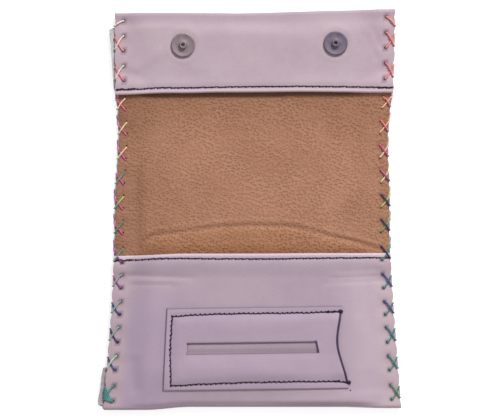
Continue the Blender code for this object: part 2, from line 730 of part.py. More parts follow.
def washer(name, low, parent, place, slots):
    r = WASHER_DIAMETER / 2
    profile = [(0, low), (r, low), (r, low + WASHER), (0, low + WASHER)]
    made = turned(name, profile, STEEL, parent, place)
    boolean(made, slots, "DIFFERENCE")
    return made


def make_cap(side, x):
    # On the flap's facing: a round cap with a hollow stud, its prong plate, and the washer under the leather.
    r = SNAP_DIAMETER / 2
    place = (x, lay(x, SNAP_Y), 0)
    under = FRONT_LEVEL + FACING_ROOM
    rim = under + SHELL + CLEAR
    face = CAP_FACE
    edge = SNAP_WALL / 2
    inner = r - SNAP_WALL
    stud, bore = STUD_DIAMETER / 2, STUD_BORE / 2
    tip = face + STUD_LENGTH
    bore_low = face - edge + CLEAR
    profile = [(0, face - SNAP_WALL), (inner, face - SNAP_WALL), (inner, rim), (r, rim), (r, face - edge),
               (r - edge, face), (stud, face), (stud, tip - edge), (stud - edge, tip), (bore, tip),
               (bore, bore_low), (0, bore_low)]
    turned(f"snap_cap_{side}", profile, STEEL, flap_hinge, place)
    washer_low = under - CLEAR - WASHER
    foot = washer_low - CLEAR - PLATE
    slots = prong_slots(f"cap_slots_{side}", place, washer_low - CLEAR / 2, rim - CLEAR / 2)
    boolean(leather["shell_flap"], slots, "DIFFERENCE")
    prong_plate(f"snap_cap_prongs_{side}", rim, foot, flap_hinge, place, 2 * (inner - CLEAR))
    washer(f"snap_cap_washer_{side}", washer_low, flap_hinge, place, slots)


def make_magnet(side, x):
    # On the pocket's outer side: a case with a ring magnet that takes the cap's stud, and the plate and washer.
    r = SNAP_DIAMETER / 2
    place = (x, MAGNET_Y + SNAP_TILT * x, 0)
    edge = SNAP_WALL / 2
    inner = r - SNAP_WALL
    mouth = STUD_DIAMETER / 2 + CLEAR
    profile = [(mouth, 0), (r - edge, 0), (r, edge), (r, MAGNET_CASE), (inner, MAGNET_CASE),
               (inner, SNAP_WALL), (mouth, SNAP_WALL)]
    turned(f"magnet_case_{side}", profile, STEEL, pocket_hinge, place)
    low, high = SNAP_WALL + CLEAR, SNAP_WALL + CLEAR + MAGNET
    ring = [(mouth, low), (inner - CLEAR, low), (inner - CLEAR, high), (mouth, high)]
    turned(f"magnet_{side}", ring, MAGNET_GREY, pocket_hinge, place)
    plate_low = MAGNET_CASE + CLEAR
    washer_low = MAGNET_STACK + SHELL + CLEAR
    foot = washer_low + WASHER + CLEAR
    slots = prong_slots(f"magnet_slots_{side}", place, MAGNET_STACK - CLEAR / 2, foot - CLEAR / 2)
    boolean(leather["shell_pocket"], slots, "DIFFERENCE")
    prong_plate(f"magnet_prongs_{side}", plate_low, foot, pocket_hinge, place, SNAP_DIAMETER)
    washer(f"magnet_washer_{side}", washer_low, pocket_hinge, place, slots)


for side, x in SNAPS:
    make_cap(side, x)
    make_magnet(side, x)
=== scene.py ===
import math

import bmesh
import bpy
import numpy as np
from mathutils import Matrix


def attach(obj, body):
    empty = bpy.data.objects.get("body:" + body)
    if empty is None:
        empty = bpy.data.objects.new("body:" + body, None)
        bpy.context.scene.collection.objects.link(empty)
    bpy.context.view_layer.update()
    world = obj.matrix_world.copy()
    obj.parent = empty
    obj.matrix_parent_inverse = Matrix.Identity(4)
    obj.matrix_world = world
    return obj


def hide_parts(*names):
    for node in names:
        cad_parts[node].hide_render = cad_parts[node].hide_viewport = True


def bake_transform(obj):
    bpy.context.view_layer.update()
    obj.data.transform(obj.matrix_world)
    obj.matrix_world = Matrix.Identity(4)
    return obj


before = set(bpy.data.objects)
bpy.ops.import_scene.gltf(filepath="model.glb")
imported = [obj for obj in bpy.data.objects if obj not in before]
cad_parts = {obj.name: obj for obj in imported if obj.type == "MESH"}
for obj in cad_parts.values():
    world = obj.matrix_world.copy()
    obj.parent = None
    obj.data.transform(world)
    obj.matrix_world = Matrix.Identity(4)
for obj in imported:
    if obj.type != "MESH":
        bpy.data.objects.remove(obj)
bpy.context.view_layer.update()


# The outer leather. One strip of soft lilac leather, 1.2 mm thick, is the whole outside of the case. Its upper end
# is folded to the front as the flap's facing, its lower end is folded up as the pocket, and both ends are hemmed.
# All sizes are in millimetres until a mesh is made; X runs across the case and Y up along it.

MM = 0.001
LEATHER = 1.2
FLAP_FOLD, POCKET_FOLD = 44.3, -44.3
TOP, BOTTOM = 94.9, -136.2
FACING_EDGE, MOUTH = 47.5, -46.6
HEM, HEM_DROP = 7.0, 1.4
# What the folds at the outer ends and those of the hems take up.
OUTER_TURN, HEM_TURN = 1.95, 1.3
# How far each side of a fold the strip bends when the case is shut.
POCKET_REACH, FLAP_REACH = 8, 11
# Widths to the left and to the right of the middle line, at seven stations down the case.
STATIONS = (94.9, 50.1, 26.3, -14.3, -44.3, -68.6, -136.2)
LEFT = (80.8, 80.3, 79.0, 81.0, 81.3, 82.2, 87.5)
RIGHT = (82.6, 81.2, 78.9, 79.6, 79.6, 81.0, 86.0)
LACE_INSET = 5.2
FLAP_HOLES = [(90.2, None), (81.4, 72.6), (63.9, 55.1)]
BACK_HOLES = [(45.4 - 14.45 * k, 38.0 - 14.45 * k) for k in range(6)]
POCKET_HOLES = [(-42.5, -50.6), (-58.5, -66.4), (-74.3, -81.9), (-89.3, -98.0), (-106.0, -114.2), (-122.9, -131.1)]
ALL_HOLES = [y for pair in FLAP_HOLES + BACK_HOLES + POCKET_HOLES for y in pair if y is not None]
SNAP_X = (-41.0, 47.8)
SNAP_Y, MAGNET_Y = 75.5, -101.7
TOP_TILT = 1.0 / 82.6
SLIT_Y = -101.1
# How far the back ply stands out past the front ply at the left: places down the case, and lengths.
FLAP_OVERHANG = (46.5, 49.5, 54.8, 66.5, 78.0, 84.0, 85.3), (0.0, 0.8, 1.4, 2.0, 2.7, 3.6, 3.4)
POCKET_OVERHANG = (-133.4, -131.8, -130.0, -124.0, -119.0, -113.2), (3.1, 3.6, 3.6, 2.8, 2.8, 2.3)
# Punched holes: radius in the front plies and in the lining. The lacing fills those of the back ply, which are only
# painted dark as the shade of a hole, and the rims of the open holes get painted shade.
FRONT_HOLE, LINING_HOLE, FILLED_HOLE = 0.7, 0.5, -1.0
FRONT_RIM, LINING_RIM = -0.72, -0.45


def ease(t):
    t = np.clip(t, 0, 1)
    return t * t * (3 - 2 * t)


def bell(distance, width):
    return np.exp(-(distance / width) ** 2)


def edge(widths, y):
    # Smooth curve through one width at each station down the case.
    stations, widths, y = np.array(STATIONS), np.array(widths), np.clip(y, BOTTOM, TOP)
    slopes = np.gradient(widths, stations)
    i = np.clip(np.searchsorted(-stations, -y, side="right") - 1, 0, 5)
    span = stations[i + 1] - stations[i]
    t = (y - stations[i]) / span
    return ((2 * t ** 3 - 3 * t ** 2 + 1) * widths[i] + (t ** 3 - 2 * t ** 2 + t) * span * slopes[i]
            + (3 * t ** 2 - 2 * t ** 3) * widths[i + 1] + (t ** 3 - t ** 2) * span * slopes[i + 1])


def inset(x, y):
    return np.minimum(x + edge(LEFT, y), edge(RIGHT, y) - x)


def side_rise(x, y):
    return ease((inset(x, y) - 8.5) / 17)


def overhang(y):
    if 46.5 < y <= 85.3:
        return float(np.interp(y, *FLAP_OVERHANG))
    if -134.0 < y <= -113.2:
        return float(np.interp(y, *POCKET_OVERHANG))
    return 0.0


def pull(y):
    # How far the lacing draws the edge in, where a thread goes round it.
    return 0.6 * sum(bell(y - hole, 1.5) for hole in ALL_HOLES) - 0.2


def lay(x, y):
    # Where a row of the strip really lies: the case is hand made, and none of its edges is quite straight.
    sag = (0.5 * ease((x - 55) / 25) - 0.85 * bell(x + 6, 40)) * ease((y - 72) / 20)
    bottom = 1.8 * ease((-x - 37) / 26) + 0.65 * ease((x - 50) / 26) - 0.35
    return y + TOP_TILT * x * ease((y - FLAP_FOLD) / 25.3) + sag - bottom * ease((BOTTOM + 22 - y) / 22)


def facing_lay(x, y):
    hang = 1.1 * ease((-x - 50) / 30) + 0.4 * ease((-x - 20) / 20) - 0.3 * bell(x - 28, 20)
    hang = hang + 0.3 * ease((x - 52) / 18)
    return lay(x, y) - hang * ease((FACING_EDGE + 12 - y) / 12)


def mouth_lay(x, y):
    droop = 1.1 * ease((-x - 40) / 40) - 0.3 * ease((x + 60) / 20) - 0.3 * ease(x / 40)
    return lay(x, y) - droop * ease((y - MOUTH + 14) / 7)


def dome(x, y):
    # The back ply rises over each magnet snap under the pocket.
    away = [np.hypot(x - snap_x, y - MAGNET_Y - TOP_TILT * snap_x) for snap_x in SNAP_X]
    return ease((15.6 - np.minimum(*away)) / 7)


def level_at(base, x, y):
    return float(base(np.array([x]), y)[0])


def lift(x, y):
    return 1.1 * (1 - side_rise(x, y))


def back_base(x, y):
    # Where the back ply stands out past the front ply, it curls up beside it.
    stands_out = ease((y - 47) / 3) * ease((86.5 - y) / 1.2) + ease((-112.2 - y) / 1.0)
    curl = 1.7 * ease((-edge(LEFT, y) - x + 0.7) / 1.2) * stands_out
    return lift(x, y) + 3.0 * dome(x, y) + curl


def ridge(x, y, start, end, height, width):
    (ax, ay), (bx, by) = start, end
    t = np.clip(((x - ax) * (bx - ax) + (y - ay) * (by - ay)) / ((bx - ax) ** 2 + (by - ay) ** 2), 0, 1)
    return height * bell(np.hypot(x - ax - t * (bx - ax), y - ay - t * (by - ay)), width)


def wear(x, y, ridges):
    # Soft folds and dents of use, each from one place to another with a height and a width.
    return sum(ridge(x, y, *each) for each in ridges)


def pucker(x, y, pairs):
    # The leather sinks where a cross of thread holds it and swells between two crosses.
    sunk = sum(bell(y - (pair[0] + (pair[1] or pair[0])) / 2, 4.2) for pair in pairs)
    return (0.3 - 0.75 * sunk) * bell(inset(x, y) - 4.5, 4.5)


def flap_seam(x):
    return FACING_EDGE + 2.9 + 0.3 * bell(x - 15, 50)


def mouth_seam(x):
    return MOUTH - 2.9 - 0.35 * bell(x - 5, 30) + 0.4 * bell(x + 60, 14)


def facing_base(x, y):
    pillow = 1.9 * side_rise(x, y) * ease((TOP - y) / 14)
    hem = (1.6 - 0.5 * ease((x - 55) / 20) - 0.4 * ease((-x - 50) / 20)) * ease((FACING_EDGE + 13 - y) / 9)
    worn = wear(x, y, [
        ((-68, 62), (-48, 76), 0.55, 3.5), ((69, 84), (74, 73), -0.4, 1.2), ((66, 80), (72, 66), -0.35, 1.1),
        ((-30, 60), (20, 58), 0.25, 5), ((-10, 90), (35, 84), -0.4, 5), ((-66, 86), (-40, 88), 0.4, 3)])
    groove = -0.4 * bell(y - flap_seam(x), 0.9)
    rings = sum(0.22 * bell(np.hypot(x - sx, lay(x, y) - SNAP_Y - TOP_TILT * sx) - 9.6, 1.3) for sx in SNAP_X)
    near_snap = sum(bell(np.hypot(x - sx, y - SNAP_Y), 9) for sx in SNAP_X)
    return (lift(x, y) + 2.7 + np.maximum(pillow, hem) + worn * (1 - near_snap) + groove + rings
            + pucker(x, y, FLAP_HOLES))


def front_base(x, y):
    rolled = 0.45 * ease((y - BOTTOM) / 4) + 0.55 * ease((y - BOTTOM) / 24)
    pillow = rolled + (ease((y - BOTTOM) / 4) - rolled) * ease(x / 45)
    pillow = (4.6 - 0.8 * ease((x - 30) / 40)) * side_rise(x, y) * pillow
    hem = 1.4 * ease((y - MOUTH + 14) / 9)
    worn = wear(x, y, [
        ((-72, -59.0), (-36, -60.5), -0.35, 1.8), ((-70, -62), (-42, -62.6), 0.25, 1.3),
        ((-70, -64.4), (-48, -64.2), -0.3, 1.4), ((-20, -60), (40, -57), 0.3, 6),
        ((50, -57.3), (74, -56.1), -0.2, 0.9), ((47, -58.8), (74, -57.6), 0.2, 0.9),
        ((44, -60.6), (74, -59.4), -0.25, 0.9), ((41, -63.4), (74, -62.2), -0.3, 0.9),
        ((-70, -110), (-69, -124), -0.7, 3.5), ((62, -86), (68, -112), 0.5, 5), ((52, -129.5), (78, -128), 0.3, 2.5),
        ((-37, SLIT_Y - 0.5), (37, SLIT_Y + 0.6), 0.6, 1.7)])
    groove = -0.4 * bell(y - mouth_seam(x), 0.9)
    return lift(x, y) + 2.7 + pillow + hem + worn + groove + pucker(x, y, POCKET_HOLES)


# Distances of a row's outer points from the edge; the sixth from each side is where the holes are.
NEAR_EDGE = np.array([0, 0.8, 1.8, 2.9, 4.05, 5.2, 6.35, 7.6, 9.0, 10.5, 12.0, 13.6, 15.3, 17.2, 19.2, 21.4])
HOLE_COLUMNS = (5, -6)
BESIDE_HOLE = 1.15


def across(y, over=0.0, trim=(0.0, 0.0), middle=84):
    # The places of a row's points: close at both edges, which the lacing draws in, and even in the middle.
    low, high = -edge(LEFT, y), edge(RIGHT, y)
    outer = np.clip(1 - NEAR_EDGE / LACE_INSET, 0, 1)
    left = low + NEAR_EDGE + (trim[0] - over) * outer + (0.0 if over > 0.5 else pull(y)) * bell(NEAR_EDGE, 3.0)
    right = high - NEAR_EDGE - trim[1] * outer - pull(y) * bell(NEAR_EDGE, 3.0)
    between = np.linspace(low + NEAR_EDGE[-1], high - NEAR_EDGE[-1], middle + 2)[1:-1]
    return np.concatenate([left, between, right[::-1]])


def row(y, height, over=0.0, run=lay, hole=0.0, trim=(0.0, 0.0)):
    x = across(y, over, trim)
    return {"y": y, "points": np.stack([x, run(x, y), height(x, y)], 1), "hole": hole}


def row_places(start, end, step, holes):
    # Even rows, with a closer one before, through and after each hole.
    near = [hole + d for hole in holes for d in (-BESIDE_HOLE, 0, BESIDE_HOLE)]
    even = np.linspace(start, end, int(abs(end - start) / step) + 1)
    free = [y for y in even if all(abs(y - hole) > 1.9 for hole in holes)]
    low, high = min(start, end), max(start, end)
    return sorted(free + [y for y in near if low < y < high], reverse=start > end)


def ply_rows(start, end, step, height, over=None, run=lay, sharp=(), trim=(0.0, 0.0), opening=LINING_HOLE):
    holes = [hole for hole in ALL_HOLES if min(start, end) < hole < max(start, end)]
    places = sorted(set(row_places(start, end, step, holes)) | set(sharp), reverse=start > end)
    cut = [y for y in holes if all(abs(y - place) > 1.1 for place in sharp)]
    return [row(y, height, over(y) if over else 0.0, run, opening * (y in cut), trim) for y in places]


def fold_rows(fold, reach):
    # Close rows where the strip bends, which leave the rows of the holes alone.
    return tuple(y for y in np.arange(fold - reach, fold + reach + 0.1, 1.2)
                 if all(abs(y - hole) > BESIDE_HOLE for hole in ALL_HOLES))


def bend(first, second, outward, steps):
    # Half a turn that leads from one ply to the next.
    rows = []
    for k in range(1, steps):
        angle = math.pi * k / steps
        a, b = first["points"], second["points"]
        points = (a + b) / 2 + (a - b) / 2 * math.cos(angle)
        points[:, 1] += np.minimum(abs(a[:, 2] - b[:, 2]) / 2, 1.4) * math.sin(angle) * outward
        rows.append({"y": first["y"], "points": points, "hole": 0.0})
    return rows


def added(name, data):
    made = bpy.data.objects.new(name, data)
    bpy.context.scene.collection.objects.link(made)
    return made


def meshed(name, bm):
    mesh = bpy.data.meshes.new(name)
    bm.to_mesh(mesh)
    bm.free()
    return added(name, mesh)


def shifted(rows, drop):
    return [{**each, "points": each["points"] - (0, 0, drop), "hole": 0.0} for each in rows]


def sheet(name, rows, marks, open_to=1):
    # Mesh through the rows, with its own UV map down the strip and round holes where the lacing goes through.
    count = len(rows[0]["points"])
    bm = bmesh.new()
    tone = bm.verts.layers.float.new("tone")
    warm = bm.verts.layers.float.new("warm")
    flat = bm.loops.layers.uv.new("strip")
    middle = [each["points"][count // 2] for each in rows]
    steps = [np.linalg.norm(b - a) for a, b in zip(middle, middle[1:])]
    places = np.concatenate([[0], np.cumsum(steps)]) * open_to
    grid, uvs = [], {}
    for each, place in zip(rows, places):
        line = [bm.verts.new(point * MM) for point in each["points"]]
        tones, warmths = marks(each["points"][:, 0], each["y"], place)
        for vert, x, t, w in zip(line, each["points"][:, 0], tones, warmths):
            vert[tone], vert[warm] = t, w
            uvs[vert] = (x / 100, place / 100)
        grid.append(line)
    for low, high in zip(grid, grid[1:]):
        for a, b, c, d in zip(low, low[1:], high[1:], high):
            face = bm.faces.new((a, b, c, d) if open_to < 0 else (d, c, b, a))
            for loop in face.loops:
                loop[flat].uv = uvs[loop.vert]
    gone = []
    for i, each in enumerate(rows):
        for j in HOLE_COLUMNS if each["hole"] else ():
            j = j % count
            # A filled hole is only a painted dark spot, standing for the shade in a hole.
            if each["hole"] == FILLED_HOLE:
                grid[i][j][tone] = -1.0
                continue
            centre = grid[i][j].co.copy()
            for di, dj in ((-1, -1), (-1, 0), (-1, 1), (0, 1), (1, 1), (1, 0), (1, -1), (0, -1)):
                vert = grid[i + di][j + dj]
                away = (vert.co - centre).to_2d().normalized() * each["hole"] * MM
                vert.co = (centre.x + away.x, centre.y + away.y, centre.z - 0.15 * MM)
                # Painted shade on the rim of each open hole.
                vert[tone] = FRONT_RIM if each["hole"] == FRONT_HOLE else LINING_RIM
            gone.append(grid[i][j])
    bmesh.ops.delete(bm, geom=gone, context="VERTS")
    return meshed(name, bm)


def settled(piece, angle=40):
    # The piece as its modifiers leave it, as a plain mesh.
    graph = bpy.context.evaluated_depsgraph_get()
    mesh = bpy.data.meshes.new_from_object(piece.evaluated_get(graph), preserve_all_data_layers=True, depsgraph=graph)
    piece.modifiers.clear()
    piece.data = mesh
    mesh.name = piece.name
    mesh.shade_smooth()
    mesh.set_sharp_from_angle(angle=math.radians(angle))
    return piece


def thickened(piece, thickness, finish, cut_finish, flesh_finish=None):
    # Both faces and the cut edge of a sheet; the flesh side is the one that lies inward.
    for each in (finish, cut_finish, flesh_finish or finish):
        piece.data.materials.append(each)
    wall = piece.modifiers.new("thickness", "SOLIDIFY")
    wall.thickness = thickness * MM
    wall.offset = 0
    wall.use_even_offset = True
    wall.material_offset_rim = 1
    wall.material_offset = 2
    return settled(piece)


def put(tree, kind, inputs=None, **settings):
    made = tree.nodes.new(kind)
    for key, value in settings.items():
        setattr(made, key, value)
    for socket, value in (inputs or {}).items():
        if isinstance(value, bpy.types.NodeSocket):
            tree.links.new(value, made.inputs[socket])
        else:
            made.inputs[socket].default_value = value
    return made


def output(tree, kind, inputs=None, **settings):
    return put(tree, kind, inputs, **settings).outputs[0]


def here(tree):
    return put(tree, "ShaderNodeTexCoord").outputs["Object"]


def noise(tree, place, scale, detail=2.0):
    return output(tree, "ShaderNodeTexNoise", {"Vector": place, "Scale": scale, "Detail": detail})


def blended(tree, factor, first, second, how="MIX"):
    return put(tree, "ShaderNodeMix", {0: factor, 6: first, 7: second}, data_type="RGBA", blend_type=how).outputs[2]


def ranged(tree, value, low, high, out_low=0.0, out_high=1.0):
    inputs = {0: value, 1: low, 2: high, 3: out_low, 4: out_high}
    return output(tree, "ShaderNodeMapRange", inputs, interpolation_type="SMOOTHSTEP")


def sums(tree, how, first, second):
    return output(tree, "ShaderNodeMath", {0: first, 1: second}, operation=how)


def product(tree, first, second):
    return sums(tree, "MULTIPLY", first, second)


def new_group(name, inputs, outputs, kind="ShaderNodeTree"):
    group = bpy.data.node_groups.new(name, kind)
    for title, holds, value in inputs:
        socket = group.interface.new_socket(title, in_out="INPUT", socket_type=holds)
        if value is not None:
            socket.default_value = value
    for title, holds in outputs:
        group.interface.new_socket(title, in_out="OUTPUT", socket_type=holds)
    return group, group.nodes.new("NodeGroupInput").outputs, group.nodes.new("NodeGroupOutput").inputs


def vectors(tree, how, first, second):
    return output(tree, "ShaderNodeVectorMath", {0: first, 1: second}, operation=how)


def swayed(tree, place, scale, start=None):
    # The place, moved a little to and fro, so that no pattern on it is quite regular.
    sway = put(tree, "ShaderNodeTexNoise", {"Vector": place, "Scale": scale, "Detail": 2.0})
    aside = vectors(tree, "MULTIPLY", sway.outputs["Color"], (0.012, 0.012, 0.0))
    return vectors(tree, "ADD", start or place, aside)


def make_grain_group():
    # Fine pebbled grain with wandering creases, and slow cloudy variation of the dye.
    group, given, result = new_group(
        "leather_grain",
        [("Place", "NodeSocketVector", None), ("Grain per 100 mm", "NodeSocketFloat", 110.0),
         ("Cloud per 100 mm", "NodeSocketFloat", 4.0)],
        [("Height", "NodeSocketFloat"), ("Cloud", "NodeSocketFloat"), ("Fleck", "NodeSocketFloat")])
    place, grain, cloud = given[0], given[1], given[2]
    moved = swayed(group, place, 30.0)
    cells = put(group, "ShaderNodeTexVoronoi", {"Vector": moved, "Scale": grain},
                voronoi_dimensions="2D", feature="DISTANCE_TO_EDGE")
    pebble = ranged(group, cells.outputs["Distance"], 0.0, 0.28)
    fine = noise(group, moved, 420.0, 3.0)
    slow = output(group, "ShaderNodeTexNoise", {"Vector": place, "Scale": cloud, "Detail": 4.0, "Roughness": 0.6})
    height = sums(group, "ADD", product(group, pebble, 0.6), product(group, fine, 0.5))
    group.links.new(height, result["Height"])
    group.links.new(slow, result["Cloud"])
    group.links.new(noise(group, place, 22.0, 3.0), result["Fleck"])
    return group


LEATHER_GRAIN = make_grain_group()


def new_material(name, roughness=0.5, metallic=0.0, specular=0.5):
    finish = bpy.data.materials.new(name)
    finish.use_nodes = True
    shader = finish.node_tree.nodes["Principled BSDF"]
    shader.inputs["Roughness"].default_value = roughness
    shader.inputs["Metallic"].default_value = metallic
    shader.inputs["Specular IOR Level"].default_value = specular
    return finish, finish.node_tree, shader


def grouped(tree, group, inputs):
    return put(tree, "ShaderNodeGroup", inputs, node_tree=group).outputs


def measured(tree, name):
    return put(tree, "ShaderNodeAttribute", attribute_name=name, attribute_type="GEOMETRY").outputs["Fac"]


def bumped(tree, shader, height, strength, distance):
    bump = put(tree, "ShaderNodeBump", {"Height": height, "Strength": strength, "Distance": distance})
    tree.links.new(bump.outputs[0], shader.inputs["Normal"])


def lilac_leather():
    finish, tree, shader = new_material("lilac_leather", 0.5, 0.0, 0.35)
    shader.inputs["Sheen Weight"].default_value = 0.08
    shader.inputs["Sheen Roughness"].default_value = 0.5
    place = output(tree, "ShaderNodeUVMap", uv_map="strip")
    grain = grouped(tree, LEATHER_GRAIN, {"Place": place, "Grain per 100 mm": 105.0, "Cloud per 100 mm": 3.2})
    cloud = ranged(tree, grain["Cloud"], 0.32, 0.68)
    dye = blended(tree, cloud, (0.443, 0.334, 0.399, 1), (0.489, 0.377, 0.421, 1))
    patchy = ranged(tree, grain["Fleck"], 0.35, 0.7, 0.0, 0.2)
    dye = blended(tree, patchy, dye, (0.53, 0.41, 0.45, 1))
    tone, warmth = measured(tree, "tone"), measured(tree, "warm")
    rubbed_and_lit, warm = sums(tree, "MAXIMUM", tone, 0.0), sums(tree, "MAXIMUM", warmth, 0.0)
    cool = sums(tree, "MAXIMUM", product(tree, warmth, -1.0), 0.0)
    # Positive tone: paler for wear and painted highlights; negative tone: darker for dye and painted shade.
    for factor, colour in ((product(tree, rubbed_and_lit, 0.5), (0.70, 0.56, 0.62, 1)),
                           (product(tree, warm, 0.5), (0.62, 0.43, 0.46, 1)),
                           (cool, (0.435, 0.318, 0.475, 1)),
                           (ranged(tree, tone, 0.0, -0.3, 0.0, 0.6), (0.285, 0.205, 0.265, 1)),
                           (ranged(tree, tone, -0.3, -1.0, 0.0, 0.95), (0.045, 0.022, 0.070, 1))):
        dye = blended(tree, factor, dye, colour)
    tree.links.new(dye, shader.inputs["Base Color"])
    tree.links.new(ranged(tree, grain["Cloud"], 0.3, 0.7, 0.44, 0.58), shader.inputs["Roughness"])
    bumped(tree, shader, grain["Height"], 0.35, 0.0002)
    return finish


def speckled(made, speck, dark, colour, strength, distance):
    # Two shades of one colour, over specks that also stand out a little.
    finish, tree, shader = made
    tree.links.new(blended(tree, ranged(tree, speck, 0.3, 0.7), dark, colour), shader.inputs["Base Color"])
    bumped(tree, shader, speck, strength, distance)
    return finish


def cut_edge(name, colour, dark):
    # The raw cut edge: paler fibres, brushed along the strip.
    made = new_material(name, 0.85, 0.0, 0.2)
    stretch = output(made[1], "ShaderNodeMapping", {"Vector": here(made[1]), "Scale": (900.0, 900.0, 3000.0)})
    return speckled(made, noise(made[1], stretch, 1.0, 3.0), dark, colour, 0.5, 0.0003)


LILAC = lilac_leather()
LILAC_CUT = cut_edge("lilac_cut_edge", (0.50, 0.44, 0.46, 1), (0.33, 0.26, 0.30, 1))


def flesh_side():
    # The inner side of the leather: pale and fibrous at the flap, and soiled to a greyer lilac at the pocket.
    finish, tree, shader = new_material("lilac_flesh_side", 0.85, 0.0, 0.2)
    place = here(tree)
    fibres = noise(tree, place, 900.0, 3.0)
    pale = ranged(tree, fibres, 0.3, 0.7)
    clean = blended(tree, pale, (0.47, 0.445, 0.455, 1), (0.60, 0.575, 0.58, 1))
    soiled = blended(tree, pale, (0.36, 0.315, 0.345, 1), (0.48, 0.43, 0.46, 1))
    down = put(tree, "ShaderNodeSeparateXYZ", {0: place}).outputs["Y"]
    fleshy = blended(tree, ranged(tree, down, 0.0, -0.08), clean, soiled)
    # Painted shade at the holes: near-black where the tone marks one.
    hole_shade = ranged(tree, measured(tree, "tone"), -0.3, -0.8)
    tree.links.new(blended(tree, hole_shade, fleshy, (0.03, 0.02, 0.03, 1)), shader.inputs["Base Color"])
    bumped(tree, shader, fibres, 0.5, 0.0003)
    return finish


LILAC_FLESH = flesh_side()


def leather_marks(x, y, place):
    # Marks kept with the strip: paler where it is folded, pinker where the lacing strains it, and more violet on the
    # pocket; and painted light: painted highlights on the hems and parts of the pocket, painted shade at the top and
    # slit.
    folded = TOP if place > 0 else -BOTTOM
    if abs(place) < folded - 3:
        return 0.2 * bell(abs(place) - folded, 4) + 0 * x, 0 * x
    if place > 0:
        # Painted highlight on the rounded edge of the facing's hem, and a painted lighter band above it across the
        # middle.
        tone = 1.7 * ease((FACING_EDGE + 2.6 - y) / 0.8) + 0.4 * bell(y - 54.5, 4.5) * ease((76 - abs(x)) / 20)
        # Painted shade where the flap's top turns away over its fold, darkest along the edge.
        tone = tone - (0.13 + 0.05 * ease(-x / 60)) * ease((y - 85.5) / 5) - 0.08 * bell(y - 94.5, 1.5)
        violet = 0.0
    else:
        # Painted highlight on the rounded edge of the mouth's hem, and lighter along the top of the pocket.
        tone = 1.6 * ease((y - MOUTH + 2.6) / 0.8) + 0.3 * bell(y + 55.5, 4.5) * (0.5 + 0.5 * ease(x / 60))
        # Painted light on the pocket's right side, and a painted highlight along its lower right.
        tone = tone + 0.6 * ease((x - 40) / 22) * ease((-54 - y) / 8) + 0.4 * bell(y + 132, 4.5) * ease((x + 30) / 60)
        violet = 0.2 + 0.35 * ease((-x - 35) / 30) * ease((-60 - y) / 20)
        # Painted shade on the slit's floor, darker toward its upper edge, and less violet as a painted warm
        # reflection.
        in_slit = ease((3.9 - abs(y - SLIT_Y)) / 1.2) * ease((40 - abs(x)) / 2)
        tone, violet = tone - (0.17 + 0.06 * ease((y - SLIT_Y) / 2)) * in_slit, violet * (1 - 0.3 * in_slit)
    return tone, 0.5 * bell(inset(x, y) - 3.5, 5.0) - violet * ease((inset(x, y) - 6) / 8)


def middle_of(base, thickness):
    return lambda x, y: base(x, y) + thickness / 2


back_mid, facing_mid, front_mid = (middle_of(base, LEATHER) for base in (back_base, facing_base, front_base))
POCKET_FOLD_ROWS, FLAP_FOLD_ROWS = fold_rows(POCKET_FOLD, POCKET_REACH), fold_rows(FLAP_FOLD, FLAP_REACH)


def folded_strip(name, side, outer, free, height, run, sharp):
    # From the middle of the case to the outer fold, back over the front to the free end, and under it as the hem.
    turn = outer - side * OUTER_TURN
    back = ply_rows(0, turn, 2.6, back_mid, over=overhang, opening=FILLED_HOLE, sharp=sharp)
    front = ply_rows(turn, free + side * HEM_TURN, 1.15, height, run=run, opening=FRONT_HOLE)
    under = shifted([each for each in front if side * (each["y"] - free) < HEM][::-3], HEM_DROP)
    rows = (back + bend(back[-1], front[0], side, 9) + front + bend(front[-1], under[0], -side, 7) + under)
    return sheet(name, rows, leather_marks, open_to=side)


pocket_leather = folded_strip("outer_leather_pocket", -1, BOTTOM, MOUTH, front_mid, mouth_lay,
                              POCKET_FOLD_ROWS + (-112.6, -113.2, -133.4, -134.0))
flap_leather = folded_strip("outer_leather_flap", 1, TOP, FACING_EDGE, facing_mid, facing_lay,
                            FLAP_FOLD_ROWS + (85.3, 86.0))


def follow_pocket(piece):
    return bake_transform(piece)


def follow_flap(piece):
    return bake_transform(piece)


for leather, follow, nodes in ((pocket_leather, follow_pocket, ("shell_pocket", "shell_back")),
                               (flap_leather, follow_flap, ("shell_flap", "shell_back"))):
    thickened(leather, LEATHER, LILAC, LILAC_CUT, LILAC_FLESH)
    follow(leather)
    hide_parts(*nodes)


# The lining. One strip of thin tan pigskin lies on the inner side of the outer leather, laced in with it at both
# sides. Its pores stand in threes, and it has taken a curved crease where the pocket folds over.

LINING = 0.9
CREASE = ((-68.0, -48.0), (-66.0, -42.0), (-63.2, -37.2), (-57.0, -34.6), (-42.9, -33.0), (-22.5, -30.3),
          (-2.0, -29.2), (17.8, -29.5), (28.3, -30.9), (44.6, -35.6), (61.5, -39.3), (73.8, -43.4))


def below_crease(x, y):
    xs, ys = zip(*CREASE)
    return np.interp(x, xs, ys) - y


def lining_base(x, y):
    depth = below_crease(x, y)
    ends = ease((x + 68) / 3) * ease((78 - x) / 10)
    crease = (0.35 * bell(depth + 1.6, 1.3) - 0.35 * bell(depth - 0.3, 1.2)) * ends
    bulge = 0.8 * ease((depth - 0.5) / 4) * ease((y - MOUTH + 2) / 8) * ends
    slack = wear(x, y, [((-67, 12), (-66.5, -42), -0.45, 2.0), ((-30, 18), (25, 16), 0.3, 9),
                        ((-60, 38), (40, 40), -0.2, 6), ((45, 10), (60, -15), 0.25, 7)])
    laced = pucker(x, y, BACK_HOLES + POCKET_HOLES[:1]) * ease((y - MOUTH) / 4) * ease((FACING_EDGE - y) / 4) * 0.7
    shown = ease((y - MOUTH + 8) / 8) * ease((FACING_EDGE + 8 - y) / 8)
    return back_base(x, y) + 1.5 + 1.5 * dome(x, y) + (crease + bulge + slack) * shown + laced


